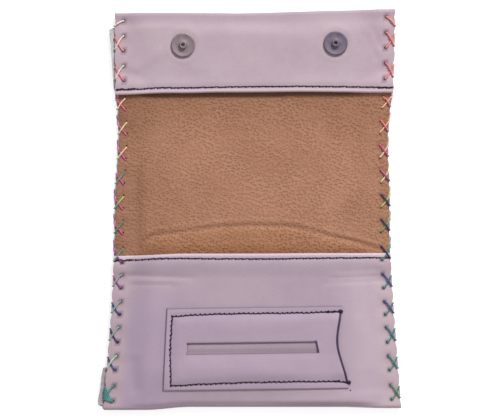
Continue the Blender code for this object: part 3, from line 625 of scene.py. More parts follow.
def pigskin_marks(x, y, place):
    # Painted shade in the crease and a soft valley at the left, and darkest a painted shadow of the facing's hem;
    # also darker at the top, the left and the laced edges; warmer below the crease, where it is worn by rubbing.
    depth = below_crease(x, y)
    ends = ease((x + 68) / 3) * ease((80 - x) / 10)
    # Painted shade in the crease and in the valley at the left.
    tone = -0.5 * bell(depth - 0.3, 1.0) * ends - 0.28 * bell(x + 66.5, 2.8) * ease((14 - y) / 20)
    tone = tone - 0.33 * ease((y - 12) / 30) - 0.33 * ease((-x - 45) / 25) - 0.1 * bell(inset(x, y), 4)
    shade = 44.4 + 1.1 * ease((x + 20) / 70) + 0.9 * ease((-x - 50) / 25) + 0.15 * np.sin(0.35 * x)
    # Painted shadow of the facing's hem on the lining, above the line where its edge falls.
    tone = tone - 0.85 * ease((y - shade) / 0.7) * ease((72 - x) / 20)
    warm = 0.9 * ease(depth / 4) * ends + 0.2 * ease((y - 10) / 30) + 0 * x
    return tone, warm


def make_pore_group():
    # Pigskin pores: short dark pricks in threes, thick in some places and worn away in others.
    group, given, result = new_group(
        "pigskin_pores", [("Place", "NodeSocketVector", None), ("Pores per 100 mm", "NodeSocketFloat", 50.0)],
        [("Pore", "NodeSocketFloat"), ("Wrinkle", "NodeSocketFloat")])
    place, count = given[0], given[1]
    lean = output(group, "ShaderNodeMapping", {"Vector": place, "Rotation": (0, 0, 0.35), "Scale": (1.12, 0.96, 1.0)})
    moved = swayed(group, place, 18.0, lean)
    pores = None
    for shift, depth in (((0.0, 0.0, 0.0), 1.0), ((0.0072, 0.0042, 0.0), 0.5), ((-0.0022, 0.0088, 0.0), 0.25)):
        aside = {"Vector": vectors(group, "ADD", moved, shift), "Scale": count, "Randomness": 0.75}
        cell = put(group, "ShaderNodeTexVoronoi", aside, voronoi_dimensions="2D")
        prick = ranged(group, cell.outputs["Distance"], 0.10, 0.36, depth, 0.0)
        pores = prick if pores is None else sums(group, "MAXIMUM", pores, prick)
    worn = ranged(group, noise(group, place, 7.0, 3.0), 0.36, 0.6, 0.55, 1.0)
    group.links.new(product(group, pores, worn), result["Pore"])
    group.links.new(noise(group, moved, 60.0), result["Wrinkle"])
    return group


PIGSKIN_PORES = make_pore_group()


def tan_pigskin():
    finish, tree, shader = new_material("tan_pigskin", 0.62, 0.0, 0.3)
    place = output(tree, "ShaderNodeUVMap", uv_map="strip")
    grain = grouped(tree, LEATHER_GRAIN, {"Place": place, "Cloud per 100 mm": 3.0})
    skin = grouped(tree, PIGSKIN_PORES, {"Place": place})
    dye = blended(tree, ranged(tree, grain["Cloud"], 0.3, 0.7), (0.374, 0.173, 0.099, 1),
                  (0.443, 0.216, 0.131, 1))
    dye = blended(tree, ranged(tree, skin["Wrinkle"], 0.4, 0.7, 0.0, 0.35), dye, (0.55, 0.29, 0.185, 1))
    dye = blended(tree, product(tree, measured(tree, "warm"), 0.45), dye, (0.42, 0.180, 0.072, 1))
    depth = ranged(tree, measured(tree, "warm"), 0.0, 0.2, 0.34, 0.55)
    dye = blended(tree, product(tree, skin["Pore"], depth), dye, (0.17, 0.068, 0.034, 1))
    # Negative tone darkens the pigskin: the painted shadow of the facing, painted shade in the crease and at the
    # holes.
    dulled_and_shaded = sums(tree, "MAXIMUM", product(tree, measured(tree, "tone"), -1.0), 0.0)
    dye = blended(tree, product(tree, dulled_and_shaded, 0.7), dye, (0.145, 0.056, 0.028, 1))
    tree.links.new(dye, shader.inputs["Base Color"])
    tree.links.new(ranged(tree, skin["Wrinkle"], 0.3, 0.7, 0.55, 0.72), shader.inputs["Roughness"])
    dents = sums(tree, "SUBTRACT", product(tree, skin["Wrinkle"], 0.8), skin["Pore"])
    bumped(tree, shader, dents, 0.7, 0.00035)
    return finish


PIGSKIN = tan_pigskin()
PIGSKIN_CUT = cut_edge("pigskin_cut_edge", (0.36, 0.20, 0.14, 1), (0.20, 0.10, 0.07, 1))

lining_mid = middle_of(lining_base, LINING)
PIGSKIN_TRIM = (1.0, 0.5)


def lining_rows(hidden, end, step, sharp):
    # Close rows as far as the lining is seen, and wide ones from there to its hidden end.
    return (ply_rows(0, hidden, step, lining_mid, trim=PIGSKIN_TRIM, sharp=sharp)
            + ply_rows(hidden, end, 3.0, lining_mid, trim=PIGSKIN_TRIM)[1:])


pocket_rows = lining_rows(MOUTH - 8, BOTTOM + 2.3, 1.0, POCKET_FOLD_ROWS)
flap_rows = lining_rows(FACING_EDGE + 6, TOP - 2.3, 1.2, FLAP_FOLD_ROWS)
pigskin_pocket = sheet("pigskin_pocket", pocket_rows, pigskin_marks, open_to=-1)
pigskin_flap = sheet("pigskin_flap", flap_rows, pigskin_marks, open_to=1)
for lining, follow, nodes in ((pigskin_pocket, follow_pocket, ("lining_pocket", "lining_back")),
                              (pigskin_flap, follow_flap, ("lining_flap", "lining_back"))):
    thickened(lining, LINING, PIGSKIN, PIGSKIN_CUT)
    follow(lining)
    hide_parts(*nodes)


# The paper sleeve. A patch of the same leather, pared thin, is sewn on the pocket on three sides. Its right end is
# open and stands a little off the pocket, and papers are drawn out through the long slit.

SLEEVE = 0.6
SLEEVE_TOP, SLEEVE_BOTTOM = -77.5, -125.2
SLIT_LEFT, SLIT_RIGHT, SLIT_HALF_Y = -38.7, 36.9, 3.25
# The patch is sewn on a little turned, and the slit's right end is cut at a slant.
SLEEVE_TURN, SLIT_SLANT = math.tan(math.radians(0.8)), 0.2
SLEEVE_CUT = cut_edge("sleeve_cut_edge", (0.17, 0.11, 0.17, 1), (0.09, 0.055, 0.10, 1))


def sleeve_left(y):
    return -51.6 + 1.15 * (y - SLIT_Y) / 24


def sleeve_right(y):
    below = SLEEVE_TOP - y
    return 51.45 - 2.2 * ease(below / 20) + 6.0 * ease((below - 20) / 28)


TOP_SEAM = (-47.4, -29.0, -4.0, 25.0, 50.6), (-82.75, -81.55, -80.95, -80.65, -79.95)
BOTTOM_SEAM = (-48.1, -29.0, -4.0, 20.0, 50.0, 55.2), (-123.4, -122.35, -121.35, -120.6, -120.5, -121.2)


def seam_depth(x, y):
    # Distance inside the three sewn sides, from the line of stitches.
    left = x - (-47.6 - 0.7 * ease((-y - 80) / 20))
    return np.minimum(np.minimum(left, np.interp(x, *TOP_SEAM) - y), y - np.interp(x, *BOTTOM_SEAM))


def sleeve_under(x, y):
    # Underside of the sleeve, at a place on the pocket.
    depth = seam_depth(x, y)
    room = 0.6 * ease(depth / 5) - 0.25 * bell(depth, 0.8)
    open_end = 0.45 * ease((x - 42) / 8) * ease(depth / 6)
    from_slit = y - SLEEVE_TURN * x - SLIT_Y
    room = room - 0.4 * bell(from_slit, 7) * ease((42 - abs(x)) / 6)
    lips = ease((40 - abs(x)) / 5) * (0.1 * ease((9 - from_slit) / 7) * ease((from_slit + 1) / 2)
                                      - 0.25 * ease((from_slit + 8) / 6) * ease((1 - from_slit) / 2))
    slack = wear(x, y, [((-20, -90), (25, -87), 0.25, 4), ((-35, -113), (20, -115), 0.2, 4)])
    return front_base(x, y) + LEATHER + 0.15 + room + open_end + lips + slack * ease(depth / 4)


def sleeve_rows():
    # Rows from the top to the slit, through it and on to the bottom, closer where the patch is cut.
    rows, slit_top, slit_low = [], SLIT_Y + SLIT_HALF_Y, SLIT_Y - SLIT_HALF_Y
    for y in np.concatenate([[SLEEVE_TOP, SLEEVE_TOP - 0.35], np.linspace(SLEEVE_TOP - 0.8, slit_top, 20),
                             np.linspace(slit_top, slit_low, 5)[1:-1], [slit_low],
                             np.linspace(slit_low - 0.6, SLEEVE_BOTTOM + 0.8, 19),
                             [SLEEVE_BOTTOM + 0.35, SLEEVE_BOTTOM]]):
        slant = SLIT_RIGHT - SLIT_SLANT * np.clip(y - SLIT_Y, -SLIT_HALF_Y, SLIT_HALF_Y)
        left, right = sleeve_left(y), sleeve_right(y)
        x = np.concatenate([[left, left + 0.35], np.linspace(left + 0.8, SLIT_LEFT, 14)[:-1],
                            np.linspace(SLIT_LEFT, slant, 61), [slant + 0.3, slant + 0.6, slant + 0.9],
                            np.linspace(slant + 1.8, right - 1.9, 12), [right - 1.5, right - 1.1, right]])
        placed = y + SLEEVE_TURN * x
        points = np.stack([x, placed, sleeve_under(x, placed) + SLEEVE / 2], 1)
        rows.append({"y": y, "points": points, "hole": 0.0})
    return rows


def sleeve_marks(x, y, place):
    # The cut sides are dyed darker, most of all the open right end and the slit's right end; these dark lines are
    # also painted shade, of the gap under the open end, of the slit's lips and of its right end.
    rim = np.minimum(x - sleeve_left(y), min(SLEEVE_TOP - y, y - SLEEVE_BOTTOM))
    tone = 0.3 * bell(rim - 1.6, 1.2) - (0.55 if y > SLIT_Y else 0.35) * (rim < 0.5)
    tone = np.where(x < sleeve_left(y) + 0.5, -0.75, tone) + 0.3 * (y < SLIT_Y - 4) * (rim > 2)
    # Dye and painted shade of the gap under the open right end.
    tone = np.where((x > sleeve_right(y) - 1.3) & (y > -122.6) & (y < -79.6), -1.2, tone)
    slant = SLIT_RIGHT - SLIT_SLANT * (y - SLIT_Y)
    # Painted shade along the slit's lips, darkest along the lower one.
    lip_shadow = (abs(abs(y - SLIT_Y) - SLIT_HALF_Y) < 0.1) & (x > SLIT_LEFT - 0.1) & (x < slant + 0.1)
    tone = np.where(lip_shadow, -0.5 if y > SLIT_Y else -0.8, tone)
    in_slit = abs(y - SLIT_Y) < SLIT_HALF_Y + 0.1
    return np.where((abs(x - slant - 0.25) < 0.45) & in_slit, -1.0, tone), 0 * x - 0.45


sleeve = sheet("paper_sleeve_leather", sleeve_rows(), sleeve_marks, open_to=-1)
cut = bmesh.new()
cut.from_mesh(sleeve.data)
inside = []
for face in cut.faces:
    middle = face.calc_center_median() / MM
    up = middle.y - SLEEVE_TURN * middle.x - SLIT_Y
    if SLIT_LEFT < middle.x < SLIT_RIGHT - SLIT_SLANT * up and abs(up) < SLIT_HALF_Y:
        inside.append(face)
bmesh.ops.delete(cut, geom=inside, context="FACES")
bmesh.ops.reverse_faces(cut, faces=cut.faces)
cut.to_mesh(sleeve.data)
cut.free()
thickened(sleeve, SLEEVE, LILAC, SLEEVE_CUT)
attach(sleeve, "pocket")
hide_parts("paper_sleeve")


# The machine seams. A dark violet sewing thread holds both hems and the sleeve. Each stitch rises a little between
# two needle holes and leans to one side, and the seams are sewn back over themselves at their ends.

THREAD = 0.7


def path_mesh(name, lines, **marks):
    # Lines of points as plain edges, which the node trees turn into thread, with marks for every point.
    points, edges = [], []
    for line in lines:
        start = len(points)
        points += [tuple(np.array(point) * MM) for point in line]
        edges += [(start + k, start + k + 1) for k in range(len(line) - 1)]
    mesh = bpy.data.meshes.new(name)
    mesh.from_pydata(points, edges, [])
    for title, values in marks.items():
        if title == "dye":
            dye = mesh.attributes.new(title, "FLOAT_COLOR", "POINT")
            dye.data.foreach_set("color", np.concatenate([[*colour, 1.0] for colour in values]))
        else:
            mesh.attributes.new(title, "FLOAT", "POINT").data.foreach_set("value", values)
    return added(name, mesh)


def new_tree(name, inputs):
    return new_group(name, [("Geometry", "NodeSocketGeometry", None)] + inputs,
                     [("Geometry", "NodeSocketGeometry")], "GeometryNodeTree")


def ring_of(tree, thickness, sides):
    radius = product(tree, thickness, 0.5)
    return output(tree, "GeometryNodeCurvePrimitiveCircle", {"Resolution": sides, "Radius": radius})


def realized(tree, geometry, finish):
    solid = output(tree, "GeometryNodeRealizeInstances", {"Geometry": geometry})
    return output(tree, "GeometryNodeSetMaterial", {"Geometry": solid, "Material": finish})


def make_stitch_tree():
    # Path to stitches: one arched, leaning length of thread and one needle hole at every pitch.
    tree, given, result = new_tree("machine_stitches", [
        ("Pitch", "NodeSocketFloat", 0.0039), ("Thread", "NodeSocketFloat", 0.0005),
        ("Lean", "NodeSocketFloat", 0.12), ("Seed", "NodeSocketInt", 4),
        ("Thread finish", "NodeSocketMaterial", None), ("Hole finish", "NodeSocketMaterial", None)])
    line = output(tree, "GeometryNodeMeshToCurve", {"Mesh": given["Geometry"]})
    spots = output(tree, "GeometryNodeResampleCurve", {"Curve": line, "Length": given["Pitch"]}, mode="LENGTH")
    tangent = output(tree, "GeometryNodeInputTangent")
    aim = output(tree, "FunctionNodeAlignRotationToVector", {"Vector": tangent}, axis="X", pivot_axis="Z")
    aim = output(tree, "FunctionNodeAlignRotationToVector", {"Rotation": aim, "Vector": tangent}, axis="X",
                 pivot_axis="Y")
    spread = {"Min": (-0.05, -0.03, -0.06), "Max": (0.05, 0.03, 0.06), "Seed": given["Seed"]}
    chance = output(tree, "FunctionNodeRandomValue", spread, data_type="FLOAT_VECTOR")
    lean = output(tree, "ShaderNodeCombineXYZ", {"Z": given["Lean"]})
    turn = vectors(tree, "ADD", chance, lean)
    turned = put(tree, "FunctionNodeRotateRotation", {"Rotation": aim}, rotation_space="LOCAL")
    tree.links.new(output(tree, "FunctionNodeEulerToRotation", {0: turn}), turned.inputs[1])
    half = product(tree, given["Pitch"], 0.49)
    sunk = product(tree, given["Thread"], -0.9)
    arch = output(tree, "GeometryNodeCurveQuadraticBezier", {
        "Resolution": 8,
        "Start": output(tree, "ShaderNodeCombineXYZ", {"X": product(tree, half, -1.0), "Z": sunk}),
        "Middle": output(tree, "ShaderNodeCombineXYZ", {"Z": product(tree, given["Thread"], 1.15)}),
        "End": output(tree, "ShaderNodeCombineXYZ", {"X": half, "Z": sunk})})
    stitch = output(tree, "GeometryNodeCurveToMesh", {
        "Curve": arch, "Profile Curve": ring_of(tree, given["Thread"], 7), "Fill Caps": True})
    stitch = output(tree, "GeometryNodeTransform", {
        "Geometry": stitch, "Translation": output(tree, "ShaderNodeCombineXYZ", {"X": half})})
    stitches = output(tree, "GeometryNodeInstanceOnPoints", {
        "Points": spots, "Instance": stitch, "Rotation": turned.outputs[0]})
    pit = output(tree, "GeometryNodeMeshCone", {
        "Vertices": 8, "Radius Top": 0.0002, "Radius Bottom": 0.00062, "Depth": 0.00025})
    holes = output(tree, "GeometryNodeInstanceOnPoints", {"Points": spots, "Instance": pit, "Rotation": aim})
    ball = output(tree, "GeometryNodeMeshUVSphere", {"Segments": 10, "Rings": 6, "Radius": given["Thread"]})
    tied = output(tree, "GeometryNodeInputNamedAttribute", {"Name": "knot"}, data_type="FLOAT")
    knots = output(tree, "GeometryNodeInstanceOnPoints", {
        "Points": spots, "Instance": ball,
        "Selection": output(tree, "FunctionNodeCompare", {0: tied, 1: 0.5}, operation="GREATER_THAN"),
        "Scale": output(tree, "ShaderNodeVectorMath", {0: (2.2, 1.7, 0.9), "Scale": tied}, operation="SCALE")})
    both = put(tree, "GeometryNodeJoinGeometry")
    for part, finish in ((knots, "Thread finish"), (holes, "Hole finish"), (stitches, "Thread finish")):
        tree.links.new(realized(tree, part, given[finish]), both.inputs[0])
    tree.links.new(both.outputs[0], result["Geometry"])
    return tree


def grown(piece, tree, values):
    # The path as its node tree makes it, as a plain mesh.
    step = piece.modifiers.new(tree.name, "NODES")
    step.node_group = tree
    for item in tree.interface.items_tree:
        if item.in_out == "INPUT" and item.name in values:
            step[item.identifier] = values[item.name]
    return settled(piece, 50)


def sewing_thread():
    made = new_material("violet_sewing_thread", 0.55, 0.0, 0.3)
    fibre = noise(made[1], here(made[1]), 2200.0)
    return speckled(made, fibre, (0.008, 0.004, 0.018, 1), (0.034, 0.016, 0.052, 1), 0.6, 0.0001)


def pricked_hole():
    finish, tree, shader = new_material("needle_hole", 0.9, 0.0, 0.1)
    # Painted shade: near-black, as the shade inside a needle hole.
    shade = blended(tree, noise(tree, here(tree), 900.0), (0.020, 0.010, 0.022, 1), (0.045, 0.022, 0.040, 1))
    tree.links.new(shade, shader.inputs["Base Color"])
    return finish


STITCHES = make_stitch_tree()
SEWING_THREAD = sewing_thread()
NEEDLE_HOLE = pricked_hole()


def hem_line(seam, base, run, start, end, aside=0.0):
    xs = np.linspace(start, end, int(abs(end - start) / 0.5))
    return [(x, run(np.array(x), seam(x)) + aside + 0.04 * math.sin(x * 0.31) + 0.07 * math.sin(x * 0.113 + 1),
             level_at(base, x, seam(x)) + LEATHER + 0.3) for x in xs]


def sleeve_line(start, end, aside=0.0):
    # Between two places on the sleeve; along the top or the bottom it follows that seam.
    line = []
    for t in np.linspace(0, 1, int(2 * math.dist(start, end))):
        x, y = start[0] + (end[0] - start[0]) * t, start[1] + (end[1] - start[1]) * t
        sway = aside + 0.1 * math.sin(0.4 * (x + 2 * y))
        if abs(end[0] - start[0]) < 5:
            x = x + sway
        else:
            y = float(np.interp(x, *(TOP_SEAM if y > SLIT_Y else BOTTOM_SEAM))) + sway
        line.append((x, y, level_at(sleeve_under, x, y) + SLEEVE + 0.25))
    return line


# For each seam: the length of a stitch, how far it leans, the size of a knot, and the lines of thread, marked True
# where one begins with a knot. The seams are sewn back over themselves at their ends.
flap_hem, mouth_hem = (flap_seam, facing_base, facing_lay), (mouth_seam, front_base, mouth_lay)
upper_right, upper_left, left_middle = (50.6, -79.9), (-47.4, -82.7), (-48.6, -102.1)
lower_left, lower_right, overlap = (-48.1, -123.4), (55.2, -121.2), (3.8, -121.2)
SEAMS = [
    ("flap_hem_stitches", "flap_hem_thread", follow_flap, 3.9, 0.07, 0.6, [
        (True, hem_line(*flap_hem, -79.2, 81.2)), (False, hem_line(*flap_hem, -79.2, -69, 0.2)),
        (False, hem_line(*flap_hem, 73, 81.2, -0.25))]),
    ("mouth_hem_stitches", "mouth_hem_thread", follow_pocket, 3.85, 0.07, 0.6, [
        (True, hem_line(*mouth_hem, -80.3, 79.0)), (False, hem_line(*mouth_hem, -80.3, -70, 0.25))]),
    ("sleeve_stitches", "sleeve_thread", lambda piece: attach(piece, "pocket"), 2.75, 0.15, 1.0, [
        (True, sleeve_line(upper_right, upper_left)), (False, sleeve_line(upper_right, (41, -80.2), 0.35)),
        (False, sleeve_line(upper_left, left_middle)), (False, sleeve_line(left_middle, lower_left)),
        (False, sleeve_line(lower_left, overlap)), (True, sleeve_line(lower_right, overlap)),
        (False, sleeve_line(lower_right, (47, -120.5), 0.35))]),
]
for name, node, follow, pitch, lean, knot, lines in SEAMS:
    kept = [line[:-int(2 * pitch)] for _, line in lines]
    knots = [knot * (knotted and k == 0) for (knotted, _), line in zip(lines, kept) for k in range(len(line))]
    seam = grown(path_mesh(name, kept, knot=knots), STITCHES, {
        "Pitch": pitch * MM, "Thread": THREAD * MM, "Lean": lean, "Seed": 4,
        "Thread finish": SEWING_THREAD, "Hole finish": NEEDLE_HOLE})
    follow(seam)
    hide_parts(node)


# The spare needle hole. One hole at the sleeve's lower right corner was pricked through the pocket's front and never
# sewn. It is a shallow pit in the leather, painted near-black as the shade inside it.

SPARE_X, SPARE_Y = 56.3, -125.9
spare = bmesh.new()
bmesh.ops.create_cone(spare, cap_ends=True, segments=10, radius1=0.65 * MM, radius2=0.3 * MM, depth=0.3 * MM)
spare_height = level_at(front_base, SPARE_X, SPARE_Y) + LEATHER
bmesh.ops.translate(spare, verts=spare.verts, vec=(SPARE_X * MM, SPARE_Y * MM, spare_height * MM))
spare_hole = meshed("spare_needle_hole", spare)
spare_hole.data.materials.append(NEEDLE_HOLE)
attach(spare_hole, "pocket")


# The lacing. Two lengths of waxed thread, dyed in changing colours, lace each side in crosses: one goes down through
# the upper hole of each pair and the other comes back up through the lower holes, and both go round the edge.

LACE = 0.95
CREAM, CORAL, PEACH, YELLOW = (0.95, 0.78, 0.70), (0.87, 0.25, 0.27), (0.95, 0.58, 0.42), (0.88, 0.80, 0.42)
PINK, MAGENTA, PLUM, NAVY = (0.75, 0.13, 0.30), (0.60, 0.07, 0.34), (0.14, 0.03, 0.22), (0.025, 0.022, 0.13)
BLUE, TEAL, GREEN, PALE_GREEN = (0.04, 0.07, 0.27), (0.07, 0.29, 0.28), (0.11, 0.33, 0.18), (0.55, 0.80, 0.56)
LIME, ORANGE, PALE_TEAL = (0.58, 0.68, 0.24), (0.98, 0.33, 0.22), (0.33, 0.48, 0.44)
DYES = {
    ("left", "down"): ((95, CREAM), (60, CREAM), (46, PEACH), (28, YELLOW), (16, PEACH), (6, YELLOW), (1, GREEN),
                       (-14, LIME), (-20, GREEN), (-44, GREEN), (-58, PALE_TEAL), (-76, PALE_TEAL), (-95, PALE_TEAL),
                       (-108, PALE_GREEN), (-118, PALE_GREEN), (-124, TEAL), (-136, TEAL)),
    ("left", "up"): ((95, CORAL), (58, CORAL), (44, PINK), (20, PINK), (0, MAGENTA), (-30, PINK), (-42, MAGENTA),
                     (-52, PLUM), (-60, MAGENTA), (-68, PLUM), (-74, BLUE), (-86, NAVY), (-104, NAVY), (-112, BLUE),
                     (-126, TEAL), (-136, TEAL)),
    ("right", "down"): ((95, ORANGE), (80, CORAL), (60, CORAL), (34, CORAL), (20, PINK), (4, PINK), (-8, PLUM),
                        (-14, NAVY), (-50, NAVY), (-62, BLUE), (-80, BLUE), (-96, TEAL), (-112, TEAL),
                        (-122, GREEN), (-136, GREEN)),
    ("right", "up"): ((95, ORANGE), (56, CORAL), (44, PEACH), (26, PEACH), (10, CREAM), (-2, YELLOW), (-16, LIME),
                      (-36, GREEN), (-50, TEAL), (-100, TEAL), (-120, GREEN), (-136, GREEN)),
}


# How far toward the other hole of its pair a thread rounds the edge, and how far below the flap's first holes.
TOWARD_PAIR = 0.88
BELOW_FIRST = {"left": 3.0, "right": 5.2}


def dye_at(side, way, y):
    places, colours = zip(*DYES[side, way][::-1])
    return [float(np.interp(y, places, channel)) for channel in zip(*colours)]


def top_of_stack(x, y):
    if y > FACING_EDGE:
        return level_at(facing_base, x, y) + LEATHER
    if y < MOUTH:
        return level_at(front_base, x, y) + LEATHER
    return level_at(lining_base, x, y) + LINING


def smooth_line(points, parts=5):
    # A curve that runs through every point.
    points = [np.array(point, float) for point in points]
    padded = [2 * points[0] - points[1]] + points + [2 * points[-1] - points[-2]]
    line = []
    for a, b, c, d in zip(padded, padded[1:], padded[2:], padded[3:]):
        for t in np.arange(parts) / parts:
            line.append(0.5 * ((2 * b) + (c - a) * t + (2 * a - 5 * b + 4 * c - d) * t * t
                               + (3 * b - a - 3 * c + d) * t ** 3))
    return line + [points[-1]]


def lace_point(side, y, out, z):
    # A place on the laced edge, by its distance out from the line of holes.
    toward = 1 if side == "right" else -1
    hole = edge(RIGHT, y) - LACE_INSET if side == "right" else LACE_INSET - edge(LEFT, y)
    x = hole + toward * out
    run = facing_lay if y > FLAP_FOLD else mouth_lay
    return x, float(run(np.array(x), y)), z


def over_edge(side, hole, level, rise, back_to, along_edge=False):
    # Up through a hole, curving over the leather to the edge at another level, round it and back underneath.
    low = level_at(back_base, lace_point(side, hole, 0, 0)[0], hole)
    over = overhang(level) if side == "left" else 0.0
    drawn = LACE_INSET - pull(level)
    points = [(hole, 0, low - 0.35), (hole, 0.05, low + 1.2)]
    curve = 1.15 if FACING_EDGE > hole > MOUTH else 1.45
    for t in (0.04, 0.2, 0.38, 0.55, 0.7, 0.84, 0.97):
        y = hole + (level - hole) * t ** curve
        x = lace_point(side, y, drawn * t, 0)[0]
        hump = rise * bell(t - 0.62, 0.24) - 0.25 * (t < 0.1)
        points.append((y, drawn * t, top_of_stack(x, y) + 0.4 + hump))
    edge_low = level_at(back_base, lace_point(side, level, drawn, 0)[0], level)
    top = points[-1][2]
    if over > 0.5:
        # Here it goes down between the plies, and through the one that stands out.
        points += [(level, drawn + 0.42, (top + edge_low + LEATHER) / 2), (level, drawn + 0.2, edge_low + 0.7)]
    else:
        points += [(level, drawn + 0.38, edge_low + top * 0.3)]
    if along_edge and back_to is not None:
        points += [(level + (back_to - level) * 0.3, drawn + 0.3, edge_low + 0.1),
                   (level + (back_to - level) * 0.7, drawn + 0.15, edge_low - 0.2)]
    else:
        points += [(level, drawn - 0.1, edge_low - 0.38)]
        if back_to is not None:
            points += [((level + back_to) / 2, drawn / 2, low - 0.42)]
    return [lace_point(side, *point) for point in points]


def lacing(side, way, pairs):
    # The down thread uses the upper holes, lies on top and rounds the edge near the lower ones; the up thread does
    # the opposite.
    points = []
    if way == "down":
        for (upper, lower), following in zip(pairs, pairs[1:] + [(None, None)]):
            level = upper - BELOW_FIRST[side] if lower is None else upper + TOWARD_PAIR * (lower - upper)
            points += over_edge(side, upper, level, 0.8, following[0])
        return smooth_line(points)
    whole = [pair for pair in pairs if pair[1] is not None][::-1]
    for (upper, lower), before in zip(whole, whole[1:] + [(None, None)]):
        along_edge = FACING_EDGE > upper > MOUTH
        points += over_edge(side, lower, lower + TOWARD_PAIR * (upper - lower), 0.0, before[1], along_edge)
    return smooth_line(points)


def make_lace_tree():
    # Path to a round, twisted thread, which keeps how far along and how far round each point is.
    tree, given, result = new_tree("laced_thread", [("Thickness", "NodeSocketFloat", 0.00085),
                                                    ("Finish", "NodeSocketMaterial", None)])
    line = output(tree, "GeometryNodeMeshToCurve", {"Mesh": given["Geometry"]})
    travel = put(tree, "GeometryNodeSplineParameter")
    line = output(tree, "GeometryNodeStoreNamedAttribute", {
        "Geometry": line, "Name": "along", "Value": travel.outputs["Length"]})
    ring = output(tree, "GeometryNodeStoreNamedAttribute", {
        "Geometry": ring_of(tree, given["Thickness"], 10), "Name": "around", "Value": travel.outputs["Factor"]})
    thread = output(tree, "GeometryNodeCurveToMesh", {"Curve": line, "Profile Curve": ring, "Fill Caps": True})
    thread = realized(tree, thread, given["Finish"])
    tree.links.new(thread, result["Geometry"])
    return tree


def waxed_thread():
    finish, tree, shader = new_material("variegated_waxed_thread", 0.42, 0.0, 0.45)
    dye = put(tree, "ShaderNodeAttribute", attribute_name="dye", attribute_type="GEOMETRY").outputs["Color"]
    turns = sums(tree, "ADD", product(tree, measured(tree, "along"), 5200.0),
                 product(tree, measured(tree, "around"), 18.85))
    strand = output(tree, "ShaderNodeMath", {0: turns}, operation="SINE")
    fuzz = noise(tree, here(tree), 1500.0)
    # Painted shade in the grooves between the twisted strands.
    shade = blended(tree, ranged(tree, strand, -1.0, 0.2, 0.35, 0.0), dye, (0.10, 0.08, 0.10, 1), "MULTIPLY")
    shade = blended(tree, ranged(tree, fuzz, 0.55, 0.8, 0.0, 0.18), shade, (0.85, 0.80, 0.80, 1))
    tree.links.new(shade, shader.inputs["Base Color"])
    bumped(tree, shader, sums(tree, "ADD", strand, fuzz), 0.5, 0.0001)
    return finish


LACED_THREAD = make_lace_tree()
WAXED_THREAD = waxed_thread()


def lace_piece(name, side, pairs, follow, nodes):
    lines, colours = [], []
    for way in ("down", "up"):
        lines.append(lacing(side, way, pairs))
        colours += [dye_at(side, way, point[1]) for point in lines[-1]]
    if name == "lacing_left_lower":
        # Its end is sewn over and over from the last hole to the front ply's edge, in a fan.
        for level in (-124.6, -125.9, -127.2, -128.5, -129.8):
            line = over_edge("left", -131.4, level, 0.25, None)[1:9]
            x, y, z = line[-1]
            line = smooth_line(line + [(x - 0.6, y, z - 0.7), (x - 0.2, y, z - 1.5)])
            lines.append(line)
            colours += [TEAL] * len(line)
    finish = {"Thickness": LACE * MM, "Finish": WAXED_THREAD}
    piece = grown(path_mesh(name, lines, dye=colours), LACED_THREAD, finish)
    follow(piece)
    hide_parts(*nodes)


for side in ("left", "right"):
    lace_piece(f"lacing_{side}_upper", side, FLAP_HOLES + BACK_HOLES[:3], follow_flap,
               (f"lacing_{side}_flap", f"lacing_{side}_back"))
    lace_piece(f"lacing_{side}_lower", side, BACK_HOLES[3:] + POCKET_HOLES, follow_pocket,
               (f"lacing_{side}_pocket", f"lacing_{side}_back"))


# The magnetic snaps. On the flap: a turned steel cap with a hollow stud, clenched through the facing by two prongs.
# On the pocket's outer side: a steel case that holds the ring magnet. Plates and washers lie inside the leather.

CAP_FACE = 7.3


def turned_piece(name, profile, place, steps=72):
    # Profile of (radius, height), spun round the piece's own axis; the UV map runs round and out.
    bm = bmesh.new()
    loop = [bm.verts.new((radius * MM, 0, height * MM)) for radius, height in profile]
    edges = [bm.edges.new(pair) for pair in zip(loop, loop[1:] + loop[:1])]
    bmesh.ops.spin(bm, geom=loop + edges, cent=(0, 0, 0), axis=(0, 0, 1), angle=math.tau, steps=steps,
                   use_merge=True)
    bmesh.ops.remove_doubles(bm, verts=bm.verts, dist=1e-6)
    bmesh.ops.dissolve_degenerate(bm, edges=bm.edges, dist=1e-6)
    bmesh.ops.recalc_face_normals(bm, faces=bm.faces)
    round_map = bm.loops.layers.uv.new("round")
    for face in bm.faces:
        for loop in face.loops:
            co = loop.vert.co
            loop[round_map].uv = (co.x * 100 + 0.5, co.y * 100 + 0.5)
    bmesh.ops.translate(bm, verts=bm.verts, vec=[part * MM for part in place])
    piece = meshed(name, bm)
    piece.data.shade_smooth()
    piece.data.set_sharp_from_angle(angle=math.radians(38))
    return piece


def turned_steel(name, colour, dark):
    # Rings left by the lathe, light scratches, and dull places.
    finish, tree, shader = new_material(name, 0.45, 1.0)
    place = output(tree, "ShaderNodeUVMap", uv_map="round")
    centred = vectors(tree, "ADD", place, (-0.5, -0.5, 0.0))
    out = put(tree, "ShaderNodeVectorMath", {0: centred}, operation="LENGTH").outputs["Value"]
    turns = {"W": product(tree, out, 60.0), "Scale": 1.0, "Detail": 3.0}
    rings = output(tree, "ShaderNodeTexNoise", turns, noise_dimensions="1D")
    dull = noise(tree, place, 3.5, 3.0)
    drawn = {"Vector": place, "Rotation": (0, 0, 0.6), "Scale": (4.0, 90.0, 1.0)}
    scratch = noise(tree, output(tree, "ShaderNodeMapping", drawn), 1.0)
    shade = blended(tree, ranged(tree, dull, 0.35, 0.65), dark, colour)
    shade = blended(tree, ranged(tree, scratch, 0.62, 0.75, 0.0, 0.35), shade, (0.62, 0.58, 0.60, 1))
    tree.links.new(shade, shader.inputs["Base Color"])
    tree.links.new(ranged(tree, dull, 0.3, 0.7, 0.58, 0.70), shader.inputs["Roughness"])
    bumped(tree, shader, sums(tree, "ADD", rings, product(tree, scratch, 0.3)), 0.3, 0.00015)
    return finish
